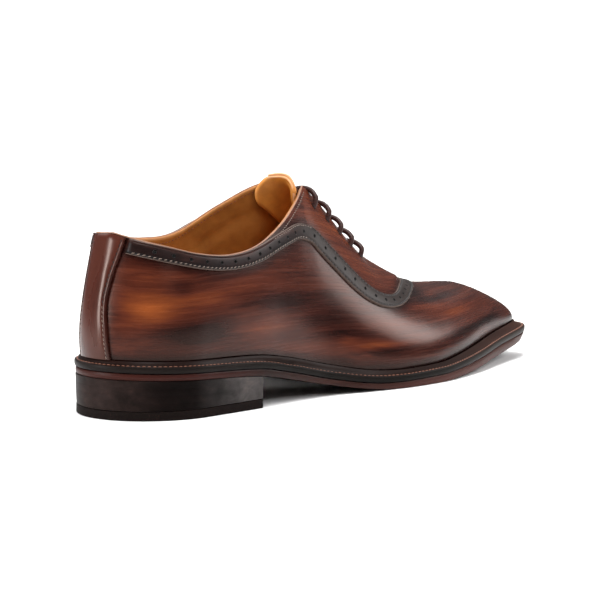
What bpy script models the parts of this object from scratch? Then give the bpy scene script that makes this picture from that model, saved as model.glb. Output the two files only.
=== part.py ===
"""Right oxford shoe: laced instep panel, a narrow raised band round it and the collar, a welt all
the way round and a stacked heel.

Lengths are in millimetres and turn into metres where a mesh is made. +X points to the toe, +Y to
the inner side of the foot and +Z up. The tables are measured from the back of the welt, on the
line through the middle of the heel. An empty then carries the pieces, so that the origin lies on
the floor under the middle of the shoe.
"""

import math
from collections import namedtuple
from functools import lru_cache

import bmesh
import bpy
from mathutils import Vector

MM = 0.001
WELD = 0.005
OUTER, INNER = -1, 1
SIDES = (OUTER, INNER)

# Driving sizes
LENGTH = 310.5
GAP = 0.3
WALL = 2.2
WELT_EDGE = 3.3
WELT_LIP_REACH = 0.8
WELT_HOLD = 2.0
INSOLE_PROUD = 2.0
SOLE_INSET = 0.5
SOLE_TOE_SLOPE = 3.0
HEEL_BREAST = 76.0
HEEL_TAPER = 0.3
TOP_PIECE = 4.5

# The walk goes round the outline from the back seam to the tip of the toe, once for each side.
HEEL_REACH = 40.0
HEEL_WALK = 60.0
TOE_START = 262.0
TOE_WALK = HEEL_WALK + TOE_START - HEEL_REACH
END_WALK = TOE_WALK + 52.0
TIP_SHIFT = 3.6
TOE_SIDE_PULL = 45.0
TOE_FRONT_PULL = 27.0

# Half widths of the welt, from the heel line to each edge
Width = namedtuple("Width", "along outer inner")
WELT_WIDTHS = (
    Width(40, 36.6, 36.0),
    Width(60, 37.3, 36.0),
    Width(80, 37.4, 33.8),
    Width(100, 36.6, 31.0),
    Width(125, 37.2, 30.2),
    Width(150, 43.6, 35.5),
    Width(172, 48.4, 43.5),
    Width(195, 49.8, 49.2),
    Width(215, 47.4, 51.0),
    Width(238, 41.8, 48.4),
    Width(TOE_START, 33.8, 41.4),
)

# Underside of the outsole above the floor, its thickness, and the welt's slope up to the upper
Sole = namedtuple("Sole", "along rise thickness lip")
SOLE_LINE = (
    Sole(0, 19.2, 3.2, 2.0),
    Sole(40, 17.7, 3.2, 2.2),
    Sole(HEEL_BREAST, 15.2, 3.5, 2.9),
    Sole(100, 10.9, 3.3, 3.6),
    Sole(128, 5.0, 3.0, 3.4),
    Sole(152, 1.1, 3.0, 2.7),
    Sole(172, 0.0, 3.4, 2.0),
    Sole(202, 0.0, 4.0, 1.8),
    Sole(235, 2.2, 4.5, 2.4),
    Sole(270, 5.4, 4.7, 2.6),
    Sole(LENGTH, 8.6, 4.4, 2.8),
)

# How far the welt stands out beyond the upper
Shelf = namedtuple("Shelf", "walk reach")
WELT_SHELF = (
    Shelf(0, 3.4),
    Shelf(60, 3.6),
    Shelf(120, 3.2),
    Shelf(190, 4.6),
    Shelf(260, 5.8),
    Shelf(END_WALK, 7.0),
)

# Collar from the back seam to the top corner of the lacing, on each side
CORNER_WALK = 145.0
Collar = namedtuple("Collar", "walk along outer inner outer_rise inner_rise")
COLLAR = (
    Collar(0, 11.5, 0.0, 0.0, 86.2, 86.2),
    Collar(20, 15.5, 13.5, 13.5, 83.2, 85.0),
    Collar(40, 25.5, 23.0, 22.6, 79.9, 83.8),
    Collar(60, 41.0, 28.4, 27.4, 75.8, 80.6),
    Collar(80, 61.0, 30.2, 28.4, 73.9, 78.0),
    Collar(100, 82.0, 29.0, 26.6, 76.8, 79.2),
    Collar(120, 107.0, 22.4, 21.0, 85.0, 90.8),
    Collar(135, 129.0, 12.4, 11.8, 93.7, 100.8),
    Collar(CORNER_WALK, 142.0, 4.6, 4.6, 99.6, 99.2),
)

# Edges of the lacing slit from that corner, then the ridge of the vamp as far as the toe
SLIT_END = 222.0
Ridge = namedtuple("Ridge", "walk along outer_rise inner_rise shift slit")
RIDGE = (
    Ridge(CORNER_WALK, 142.0, 99.6, 99.2, 0.0, 4.6),
    Ridge(160, 157.0, 88.2, 88.0, 0.0, 3.6),
    Ridge(180, 175.0, 72.7, 72.7, 0.0, 2.8),
    Ridge(200, 191.5, 59.9, 59.9, 0.2, 2.0),
    Ridge(SLIT_END, 208.0, 51.1, 51.1, 0.6, 1.0),
    Ridge(240, 223.0, 45.5, 45.5, 1.2, 0.0),
    Ridge(260, 242.0, 42.8, 42.8, 2.2, 0.0),
    Ridge(TOE_WALK, 262.0, 41.3, 41.3, 3.2, 0.0),
    Ridge(300, 270.0, 40.3, 40.3, 3.6, 0.0),
    Ridge(318, 275.0, 39.1, 39.1, 3.6, 0.0),
    Ridge(END_WALK, 278.0, 37.9, 37.9, 3.6, 0.0),
)

# Pull of each section's curve: outwards in millimetres, and upwards or downwards as a share of
# its height, first at the welt and then at the top
Pull = namedtuple("Pull", "walk bulge lift flare fall")
PULLS = (
    Pull(0, 2.4, 0.33, 5.0, 0.35),
    Pull(30, 2.6, 0.33, 4.6, 0.35),
    Pull(60, 3.0, 0.34, 4.4, 0.34),
    Pull(90, 3.2, 0.36, 5.5, 0.32),
    Pull(120, 3.0, 0.40, 9.0, 0.28),
    Pull(CORNER_WALK, 3.0, 0.42, 12.0, 0.14),
    Pull(165, 3.2, 0.42, 12.0, 0.10),
    Pull(190, 3.4, 0.44, 12.0, 0.11),
    Pull(210, 3.3, 0.48, 12.0, 0.09),
    Pull(228, 3.2, 0.54, 13.0, 0.03),
    Pull(245, 2.8, 0.60, 15.0, 0.0),
    Pull(TOE_WALK, 2.2, 0.60, 16.0, 0.02),
    Pull(305, 1.4, 0.42, 11.0, 0.16),
    Pull(END_WALK, 0.8, 0.26, 8.0, 0.30),
)

# Middle line of the raised band, as a drop from the section's top, and half the band's width. The
# last row only sets the turn.
Band = namedtuple("Band", "step walk drop half")
BAND_LINE = (
    Band(0, 12.2, 3.8, 3.6),
    Band(1, 40, 3.8, 3.6),
    Band(2, 70, 3.8, 3.6),
    Band(3, 95, 4.0, 3.6),
    Band(4, 111, 5.3, 3.6),
    Band(5, 122, 8.4, 3.6),
    Band(6, 131, 13.2, 3.9),
    Band(7, 139.6, 22.4, 4.4),
    Band(8, 147, 31.2, 4.7),
    Band(9, 158, 35.6, 4.9),
    Band(10, 170, 39.9, 4.9),
    Band(11, 183, 40.8, 4.4),
    Band(12, 195, 36.9, 3.8),
    Band(13, 208, 29.8, 3.5),
    Band(14, 221, 20.6, 3.4),
    Band(15, 234, 10.6, 3.4),
    Band(16, 240.5, 0.0, 3.4),
    Band(17, 234, -10.6, 3.4),
)
BAND_START = {OUTER: 0.0, INNER: 0.42}
BAND_END = 16
BAND_EASE = 0.4
BAND_COLUMNS = 64
BAND_ROWS = 3
BAND_THICK = 1.0
BAND_GAP = 0.4

# Edges of the back strap, as a walk from the back seam at each share of the height
Strap = namedtuple("Strap", "share outer inner")
STRAP_EDGES = (
    Strap(0.0, 7.2, 21.0),
    Strap(0.15, 6.1, 20.4),
    Strap(0.27, 5.2, 20.0),
    Strap(0.38, 4.2, 19.6),
    Strap(0.5, 3.9, 19.4),
    Strap(0.6, 4.8, 19.6),
    Strap(0.7, 5.9, 20.0),
    Strap(0.8, 7.6, 20.6),
    Strap(0.9, 9.4, 21.3),
    Strap(1.0, 11.2, 22.0),
)
STRAP_THICK = 1.2
STRAP_COLUMNS = 10
STRAP_FOOT = 0.03
STRAP_HEAD = 0.995

TONGUE_THICK = 2.4
TONGUE_CLEAR = 1.2
TONGUE_REACH = 17.0
TONGUE_HIGHEST = CORNER_WALK + 4.0
TONGUE_LOWEST = 212.0
TONGUE_EDGE_DROP = 0.2
TONGUE_CREST = 0.6
TONGUE_HALF_COLUMNS = 4
TONGUE_TOP_ALONG = 132.0
TONGUE_TOP_RISE = 106.2
TONGUE_TOP_ROUND = {OUTER: 3.0, INNER: 5.0}
TONGUE_TOP_HALF = {OUTER: 9.6, INNER: 11.0}
TONGUE_TOP_BEND = {OUTER: 0.5, INNER: 10.2}
TONGUE_TOP_SAG = {OUTER: 7.5, INNER: 12.0}
TONGUE_PINCH = {OUTER: 5.0, INNER: 1.0}
TONGUE_LEAN = math.radians(35)
TONGUE_STAND = (1.0, 0.86, 0.72, 0.58, 0.43, 0.28, 0.14)

LACE_RADIUS = 1.0
LACE_CLEAR = 0.35
LACE_ARCH = 0.8
LACE_IN = 8.6
LACE_BEVEL = 3
LACE_STEPS = 12
LACE_WALKS = (150.0, 160.2, 170.1, 179.4, 188.6)

# Spacing of the sections in each stretch of the walk, closer where the outline turns
ROWS = 11
NEAR_EDGE = 0.998
TURN_STEP = 5.5
COLUMN_STEP = 9.0
STRETCHES = (
    (HEEL_WALK, TURN_STEP),
    (CORNER_WALK, COLUMN_STEP),
    (SLIT_END, COLUMN_STEP),
    (TOE_WALK, COLUMN_STEP),
    (END_WALK, TURN_STEP),
)


@lru_cache(maxsize=None)
def column_of(rows, column):
    return [row[0] for row in rows], [getattr(row, column) for row in rows]


@lru_cache(maxsize=None)
def smooth(rows, column, at):
    """Value of a table's column at a place, on a curve that runs smoothly through its rows."""
    keys, values = column_of(rows, column)
    last = len(rows) - 1
    i = 0
    while i < last - 1 and at > keys[i + 1]:
        i += 1

    def slope(j):
        before, after = max(j - 1, 0), min(j + 1, last)
        return (values[after] - values[before]) / (keys[after] - keys[before])

    span = keys[i + 1] - keys[i]
    t = min(max((at - keys[i]) / span, 0.0), 1.0)
    return (
        (1 + 2 * t) * (1 - t) ** 2 * values[i]
        + t * t * (3 - 2 * t) * values[i + 1]
        + t * (1 - t) ** 2 * span * slope(i)
        - t * t * (1 - t) * span * slope(i + 1)
    )


def bezier(points, t):
    """Point on a cubic Bezier curve."""
    a, b, c, d = points
    s = 1 - t
    return a * s**3 + b * (3 * s * s * t) + c * (3 * s * t * t) + d * t**3


def half_name(side):
    return "outer" if side == OUTER else "inner"


def welt_edge(side, walk):
    """Plan point on the welt's outline."""
    name = half_name(side)
    if walk <= HEEL_WALK:
        turn = walk / HEEL_WALK * math.pi / 2
        half = smooth(WELT_WIDTHS, name, HEEL_REACH)
        return Vector((HEEL_REACH * (1 - math.cos(turn)), side * half * math.sin(turn)))
    if walk <= TOE_WALK:
        along = HEEL_REACH + walk - HEEL_WALK
        return Vector((along, side * smooth(WELT_WIDTHS, name, along)))
    step = 0.5
    start = Vector((TOE_START, side * smooth(WELT_WIDTHS, name, TOE_START)))
    behind = Vector((TOE_START - step, side * smooth(WELT_WIDTHS, name, TOE_START - step)))
    tip = Vector((LENGTH, TIP_SHIFT))
    side_pull = start + (start - behind) / step * TOE_SIDE_PULL
    front_pull = tip + Vector((0, side * TOE_FRONT_PULL))
    share = (walk - TOE_WALK) / (END_WALK - TOE_WALK)
    return bezier((start, side_pull, front_pull, tip), share)


def plan_point(side, walk, inset):
    """Plan point inside the welt's outline by an inset, square to the outline."""
    step = 0.5
    run = welt_edge(side, min(walk + step, END_WALK)) - welt_edge(side, max(walk - step, 0.0))
    if walk <= 0:
        run = Vector((0, side))
    if walk >= END_WALK:
        run = Vector((0, -side))
    inward = Vector((run.y, -run.x)).normalized() * side
    return welt_edge(side, walk) + inward * inset


def sole_rise(along):
    """Height of the outsole's underside, flat on the floor under the ball of the foot."""
    return max(smooth(SOLE_LINE, "rise", along), 0.0)


def outsole_top(along):
    return sole_rise(along) + smooth(SOLE_LINE, "thickness", along)


def welt_bottom(along):
    return outsole_top(along) + GAP


def welt_rim(along):
    return welt_bottom(along) + WELT_EDGE


def welt_lip(along):
    return welt_rim(along) + smooth(SOLE_LINE, "lip", along)


def insole_top(along):
    return welt_lip(along) + INSOLE_PROUD


def floor_level(along):
    return 0.0


def top_piece_top(along):
    return TOP_PIECE


def stack_bottom(along):
    return TOP_PIECE + GAP


def stack_top(along):
    return sole_rise(along) - GAP


def shelf(walk):
    return smooth(WELT_SHELF, "reach", walk)


def feather_point(side, walk):
    """Where the upper stands on the welt."""
    plan = plan_point(side, walk, shelf(walk))
    return Vector((plan.x, plan.y, welt_lip(plan.x) + GAP))


def edge_point(side, walk):
    """Top end of a section: the collar, the edge of the lacing slit, or the ridge of the vamp."""
    name = half_name(side)
    if walk <= CORNER_WALK:
        half = smooth(COLLAR, name, walk)
        rise = smooth(COLLAR, name + "_rise", walk)
        return Vector((smooth(COLLAR, "along", walk), side * half, rise))
    across = smooth(RIDGE, "shift", walk)
    if walk <= SLIT_END:
        across += side * smooth(RIDGE, "slit", walk)
    return Vector((smooth(RIDGE, "along", walk), across, smooth(RIDGE, name + "_rise", walk)))


@lru_cache(maxsize=None)
def upper_curve(side, walk):
    """Control points of one section of the upper, from the welt to its top end."""
    foot = feather_point(side, walk)
    top = edge_point(side, walk)
    outward = Vector((foot.x - top.x, foot.y - top.y, 0)).normalized()
    height = Vector((0, 0, top.z - foot.z))
    near_foot = foot + outward * smooth(PULLS, "bulge", walk) + height * smooth(PULLS, "lift", walk)
    near_top = top + outward * smooth(PULLS, "flare", walk) - height * smooth(PULLS, "fall", walk)
    return foot, near_foot, near_top, top


def upper_point(side, walk, share):
    """Point on the outside of the upper. A share above 1 passes over the ridge to the other side,
    and a walk below 0 passes round the back."""
    if share > 1:
        side, share = -side, 2 - share
    if walk < 0:
        side, walk = -side, -walk
    return bezier(upper_curve(side, min(walk, END_WALK)), share)


def upper_frame(side, walk, share):
    """Point on the upper, its slopes along the walk and up the section, and the way out of it."""
    step, rise = 0.25, 0.004
    high = share + rise if share + rise <= 1 or walk > SLIT_END else 1.0
    low = max(share - rise, 0.0)
    after, before = upper_point(side, walk + step, share), upper_point(side, walk - step, share)
    by_walk = (after - before) / (2 * step)
    by_share = (upper_point(side, walk, high) - upper_point(side, walk, low)) / (high - low)
    out = by_walk.cross(by_share).normalized() * -side
    return upper_point(side, walk, share), by_walk, by_share, out


def share_at_drop(side, walk, drop):
    """Share of a section that lies a drop below its top, measured along the leather."""
    steps = 48
    share, left = 1.0, drop
    here = upper_point(side, walk, share)
    while share > 0:
        following = upper_point(side, walk, share - 1 / steps)
        run = (following - here).length
        if run >= left:
            return share - left / run / steps
        share, left, here = share - 1 / steps, left - run, following
    return 0.0


def settle(side, target, walk, share):
    """Walk and share of the upper's point closest to a target."""
    for _ in range(8):
        point, by_walk, by_share, _ = upper_frame(side, walk, share)
        error = target - point
        ww, ws, ss = by_walk.dot(by_walk), by_walk.dot(by_share), by_share.dot(by_share)
        ew, es = error.dot(by_walk), error.dot(by_share)
        scale = ww * ss - ws * ws
        walk += (ew * ss - es * ws) / scale
        share += (es * ww - ew * ws) / scale
        share = max(share, 0.0) if walk > SLIT_END else min(max(share, 0.0), NEAR_EDGE)
    return walk, share


def walks(first, last):
    """Places along the walk from first to last, with the turns of the pattern kept."""
    stops = [first]
    for end, step in STRETCHES:
        stop = min(end, last)
        if stop > stops[-1]:
            begin = stops[-1]
            count = max(1, round((stop - begin) / step))
            stops += [begin + (stop - begin) * i / count for i in range(1, count + 1)]
    return stops


def make_material(name, colour, roughness):
    material = bpy.data.materials.new(name)
    material.use_nodes = True
    shader = material.node_tree.nodes["Principled BSDF"]
    shader.inputs["Base Color"].default_value = (*colour, 1.0)
    shader.inputs["Roughness"].default_value = roughness
    return material


def make_object(name, bm, material, root, sharp=35):
    """Weld a mesh, turn its faces outwards and link it in metres under the shoe's empty."""
    bmesh.ops.remove_doubles(bm, verts=bm.verts, dist=WELD)
    bmesh.ops.recalc_face_normals(bm, faces=bm.faces)
    bmesh.ops.scale(bm, vec=(MM, MM, MM), verts=bm.verts)
    mesh = bpy.data.meshes.new(name)
    bm.to_mesh(mesh)
    bm.free()
    mesh.shade_smooth()
    mesh.set_sharp_from_angle(angle=math.radians(sharp))
    obj = bpy.data.objects.new(name, mesh)
    obj.data.materials.append(material)
    bpy.context.scene.collection.objects.link(obj)
    obj.parent = root
    return obj


def loft(bm, rings, closed=False):
    """Faces from ring to ring of points."""
    made = [[bm.verts.new(point) for point in ring] for ring in rings]
    for ring, following in zip(made, made[1:]):
        count = len(ring)
        for i in range(count if closed else count - 1):
            j = (i + 1) % count
            bm.faces.new((ring[i], ring[j], following[j], following[i]))
    return made


def make_upper(material, root):
    """The leather wall, open at the collar, the lacing slit and underneath."""
    bm = bmesh.new()
    for side in SIDES:
        rings = []
        for walk in walks(0.0, END_WALK):
            rings.append([upper_point(side, walk, row / ROWS) for row in range(ROWS + 1)])
        loft(bm, rings)
    upper = make_object("upper", bm, material, root)
    wall = upper.modifiers.new("wall", "SOLIDIFY")
    wall.thickness = WALL * MM
    wall.offset = -1
    wall.use_even_offset = True
    return upper


def make_plate(name, material, root, last, levels):
    """A plate across the shoe. Each level is an inset from the welt's outline and a height."""
    bm = bmesh.new()
    rings = []
    for walk in walks(0.0, last):
        ring = []
        for side in SIDES:
            for inset, height in levels[::-side]:
                plan = plan_point(side, walk, inset(walk))
                ring.append(Vector((plan.x, plan.y, height(plan.x))))
        rings.append(ring)
    made = loft(bm, rings, closed=True)
    if last < END_WALK:
        bm.faces.new(made[-1])
    return make_object(name, bm, material, root)


def make_welt(material, root):
    """A ring under the edge of the upper, its top sloping up to a lip against the leather."""
    bm = bmesh.new()
    for side in SIDES:
        rings = []
        for walk in walks(0.0, END_WALK):
            hold = shelf(walk) + WALL + WELT_HOLD
            levels = (
                (0.0, welt_bottom),
                (0.0, welt_rim),
                (shelf(walk) - WELT_LIP_REACH, welt_lip),
                (hold, welt_lip),
                (hold, welt_bottom),
            )
            ring = []
            for inset, height in levels:
                plan = plan_point(side, walk, inset)
                ring.append(Vector((plan.x, plan.y, height(plan.x))))
            rings.append(ring)
        loft(bm, rings, closed=True)
    return make_object("welt", bm, material, root)


def border(grid):
    """Vertices round the edge of a grid, in order."""
    far_side = [row[-1] for row in grid[:-1]]
    near_side = [row[0] for row in grid[:0:-1]]
    return grid[0][:-1] + far_side + grid[-1][:0:-1] + near_side


def make_slab(name, material, root, outside, inside, flat_faces=False):
    """A thin piece between two matching grids of points. Flat faces are triangles, for a grid that
    twists."""
    bm = bmesh.new()
    front = loft(bm, outside)
    back = loft(bm, inside)
    rim, behind = border(front), border(back)
    for i, start in enumerate(rim):
        j = (i + 1) % len(rim)
        bm.faces.new((start, rim[j], behind[j], behind[i]))
    if flat_faces:
        bmesh.ops.triangulate(bm, faces=bm.faces)
    return make_object(name, bm, material, root)


def band_place(side, step):
    walk = smooth(BAND_LINE, "walk", step)
    return walk, share_at_drop(side, walk, smooth(BAND_LINE, "drop", step))


def band_middle(side, step):
    """Place on the band's middle line, averaged over a short run so that the line turns softly."""
    ease = min(BAND_EASE, step)
    walk, share = band_place(side, step)
    ends = [upper_point(side, *band_place(side, at)) for at in (step - ease, step + ease)]
    target = (upper_point(side, walk, share) * 2 + ends[0] + ends[1]) / 4
    return settle(side, target, walk, share)


def band_column(side, step):
    """Places across the band, square to its middle line: points on the upper and the ways out."""
    small = 0.05
    half = smooth(BAND_LINE, "half", step)
    walk, share = band_middle(side, step)
    before = upper_point(side, *band_middle(side, max(step - small, 0.0)))
    after = upper_point(side, *band_middle(side, min(step + small, BAND_END)))
    point, _, _, out = upper_frame(side, walk, share)
    run = (after - before).normalized()
    if step >= BAND_END:
        run = Vector((0, -side, 0))
    across = out.cross(run).normalized() * -side
    column = []
    for i in range(BAND_ROWS + 1):
        offset = half * (2 * i / BAND_ROWS - 1)
        place = settle(side, point + across * offset, walk, share)
        spot, _, _, way = upper_frame(side, *place)
        column.append((spot, way))
    return column


def make_facing_strip(material, root):
    """The raised band, from the back strap along the collar, round the laces and back again."""
    halves = []
    for side in SIDES:
        first = BAND_START[side]
        steps = [first + (BAND_END - first) * i / BAND_COLUMNS for i in range(BAND_COLUMNS + 1)]
        halves.append([band_column(side, step) for step in steps])
    columns = halves[0] + halves[1][-2::-1]
    outer = BAND_GAP + BAND_THICK
    outside = [[spot + way * outer for spot, way in column] for column in columns]
    inside = [[spot + way * BAND_GAP for spot, way in column] for column in columns]
    return make_slab("facing_strip", material, root, outside, inside)


def make_back_strap(material, root):
    """The strap over the back seam, from the welt to the collar."""
    outside, inside = [], []
    for i in range(STRAP_COLUMNS + 1):
        part = i / STRAP_COLUMNS
        ring = []
        for row in range(ROWS + 1):
            share = STRAP_FOOT + (STRAP_HEAD - STRAP_FOOT) * row / ROWS
            outer, inner = (smooth(STRAP_EDGES, half_name(side), share) for side in SIDES)
            point, _, _, out = upper_frame(INNER, inner * part - outer * (1 - part), share)
            ring.append((point, out))
        outside.append([point + out * (BAND_GAP + STRAP_THICK) for point, out in ring])
        inside.append([point + out * BAND_GAP for point, out in ring])
    return make_slab("back_strap", material, root, outside, inside)


def tongue_ring(walk, inward):
    """Points across the tongue at one walk, under both facings and across the slit."""
    halves = []
    for side in SIDES:
        half = []
        for i in range(TONGUE_HALF_COLUMNS + 1):
            drop = TONGUE_REACH * (1 - i / TONGUE_HALF_COLUMNS) + TONGUE_EDGE_DROP
            share = share_at_drop(side, walk, drop)
            point, _, _, out = upper_frame(side, walk, share)
            half.append(point - out * inward)
        halves.append(half)
    middle = (halves[0][-1] + halves[1][-1]) / 2 + Vector((0, 0, TONGUE_CREST))
    return halves[0] + [middle] + halves[1][::-1]


def tongue_crown(off, inward):
    """Point on the tongue's free top edge, off being -1 to 1 across it."""
    side = INNER if off > 0 else OUTER
    along = TONGUE_TOP_ALONG - TONGUE_TOP_BEND[side] * off * off
    rise = TONGUE_TOP_RISE - TONGUE_TOP_SAG[side] * abs(off) ** TONGUE_TOP_ROUND[side]
    point = Vector((along, TONGUE_TOP_HALF[side] * off, rise))
    return point - Vector((math.sin(TONGUE_LEAN), 0, math.cos(TONGUE_LEAN))) * inward


def tongue_stand(low, high, off, part):
    """Point between the facings and the free top edge, the tongue's edges drawn in between them."""
    side = INNER if off > 0 else OUTER
    pinch = TONGUE_PINCH[side] * 4 * part * (1 - part) * off * off
    return low.lerp(high, part) - Vector((0, side * pinch, 0))


def make_tongue(material, root):
    """A soft plate under the facings, standing up above them with a rounded top."""
    grids = []
    for depth in (0.0, TONGUE_THICK):
        grid = []
        for walk in walks(TONGUE_HIGHEST, TONGUE_LOWEST):
            grid.append(tongue_ring(walk, WALL + TONGUE_CLEAR + depth))
        last = len(grid[0]) - 1
        offs = [2 * i / last - 1 for i in range(last + 1)]
        crown = [tongue_crown(off, depth) for off in offs]
        stand = []
        for part in TONGUE_STAND:
            rows = zip(grid[0], crown, offs)
            stand.append([tongue_stand(low, high, off, part) for low, high, off in rows])
        grids.append(stand + grid)
    return make_slab("tongue", material, root, grids[0], grids[1], flat_faces=True)


def lace_path(walk):
    """Middle line of one lace bar, arching from facing to facing."""
    ends = []
    for side in SIDES:
        share = share_at_drop(side, walk, LACE_IN)
        point, _, _, out = upper_frame(side, walk, share)
        ends.append(point + out * (LACE_RADIUS + LACE_CLEAR))
    tops = [edge_point(side, walk) for side in SIDES]
    crest = (tops[0] + tops[1]) / 2
    crest.z = max(top.z for top in tops) + LACE_RADIUS + LACE_CLEAR + LACE_ARCH
    path = []
    for i in range(LACE_STEPS + 1):
        turn = math.pi * i / LACE_STEPS
        side_share = (1 - math.cos(turn)) / 2
        base = ends[0].lerp(ends[1], side_share)
        lift = crest - (ends[0] + ends[1]) / 2
        path.append(base + lift * math.sin(turn))
    return path


def make_lace_bar(name, material, root, walk):
    """A round bar of cord across the slit, with flat ends."""
    path = lace_path(walk)
    curve = bpy.data.curves.new(name, "CURVE")
    curve.dimensions = "3D"
    curve.bevel_depth = LACE_RADIUS * MM
    curve.bevel_resolution = LACE_BEVEL
    curve.use_fill_caps = True
    spline = curve.splines.new("POLY")
    spline.points.add(len(path) - 1)
    for spot, point in zip(spline.points, path):
        spot.co = (*(point * MM), 1.0)
    curve.materials.append(material)
    bar = bpy.data.objects.new(name, curve)
    bpy.context.scene.collection.objects.link(bar)
    bar.parent = root
    return bar


def make_shoe():
    for obj in list(bpy.data.objects):
        bpy.data.objects.remove(obj)
    root = bpy.data.objects.new("shoe", None)
    bpy.context.scene.collection.objects.link(root)

    brown = make_material("patina_leather", (0.15, 0.055, 0.028), 0.3)
    dark = make_material("dark_leather", (0.035, 0.022, 0.018), 0.35)
    edge = make_material("sole_leather", (0.05, 0.025, 0.018), 0.4)
    tan = make_material("tan_leather", (0.42, 0.17, 0.05), 0.5)

    make_upper(brown, root)
    make_welt(edge, root)

    def outsole_inset(walk):
        return SOLE_INSET

    def outsole_foot_inset(walk):
        turned = min(max((walk - TOE_WALK) / (END_WALK - TOE_WALK), 0.0), 1.0)
        return SOLE_INSET + SOLE_TOE_SLOPE * turned * turned * (3 - 2 * turned)

    def heel_inset(walk):
        return SOLE_INSET + HEEL_TAPER

    def insole_inset(walk):
        return shelf(walk) + WALL + WELT_HOLD + GAP

    breast_walk = HEEL_WALK + HEEL_BREAST - HEEL_REACH
    levels = ((outsole_foot_inset, sole_rise), (outsole_inset, outsole_top))
    make_plate("outsole", edge, root, END_WALK, levels)
    levels = ((insole_inset, welt_bottom), (insole_inset, insole_top))
    make_plate("insole", tan, root, END_WALK, levels)
    levels = ((heel_inset, stack_bottom), (outsole_inset, stack_top))
    make_plate("heel_stack", edge, root, breast_walk, levels)
    levels = ((heel_inset, floor_level), (heel_inset, top_piece_top))
    make_plate("heel_top_piece", dark, root, breast_walk, levels)

    make_facing_strip(dark, root)
    make_back_strap(brown, root)
    make_tongue(tan, root)
    for number, walk in enumerate(LACE_WALKS, 1):
        make_lace_bar(f"lace_bar_{number}", dark, root, walk)

    places = walks(0.0, END_WALK)
    outer_reach, inner_reach = (max(abs(welt_edge(side, walk).y) for walk in places) for side in SIDES)
    root.location = Vector((-LENGTH / 2, (outer_reach - inner_reach) / 2, 0)) * MM
    return root


make_shoe()
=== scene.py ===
import math
from functools import lru_cache

import bmesh
import bpy
from mathutils import Matrix, Vector, kdtree


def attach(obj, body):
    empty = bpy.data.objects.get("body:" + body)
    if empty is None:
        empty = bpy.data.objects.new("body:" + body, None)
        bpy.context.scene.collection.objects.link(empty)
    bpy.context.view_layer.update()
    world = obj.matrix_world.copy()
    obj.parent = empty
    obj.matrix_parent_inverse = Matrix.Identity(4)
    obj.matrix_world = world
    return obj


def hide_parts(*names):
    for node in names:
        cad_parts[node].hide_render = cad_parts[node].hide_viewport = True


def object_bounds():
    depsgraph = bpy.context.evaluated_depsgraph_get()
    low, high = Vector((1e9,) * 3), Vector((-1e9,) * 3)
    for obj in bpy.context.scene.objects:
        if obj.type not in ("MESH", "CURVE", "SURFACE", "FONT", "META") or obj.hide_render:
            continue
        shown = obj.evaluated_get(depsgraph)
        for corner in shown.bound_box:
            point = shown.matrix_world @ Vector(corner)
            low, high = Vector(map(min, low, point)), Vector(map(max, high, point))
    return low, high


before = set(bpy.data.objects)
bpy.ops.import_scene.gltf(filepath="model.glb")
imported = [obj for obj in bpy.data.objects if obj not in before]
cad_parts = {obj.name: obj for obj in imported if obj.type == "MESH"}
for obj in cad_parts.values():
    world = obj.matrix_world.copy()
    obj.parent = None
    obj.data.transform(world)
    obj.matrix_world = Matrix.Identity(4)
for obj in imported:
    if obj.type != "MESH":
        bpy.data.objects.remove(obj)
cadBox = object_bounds()
print("frame loaded:", len(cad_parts), "nodes")

mm = 0.001
outer, inner = -1, 1
sides = (outer, inner)

# Sizes of the last in millimetres. x runs from the back of the welt to the toe, +y is the inner side.
last = {
    "length": 310.5, "wall": 2.2, "gap": 0.3, "weltEdge": 3.3,
    "heelReach": 40.0, "heelWalk": 60.0, "toeStart": 262.0, "toeWalk": 282.0, "endWalk": 334.0,
    "tipShift": 3.6, "toeSidePull": 45.0, "toeFrontPull": 27.0,
    "cornerWalk": 145.0, "slitEnd": 222.0, "heelBreast": 76.0, "planStep": 9.0,
}

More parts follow.
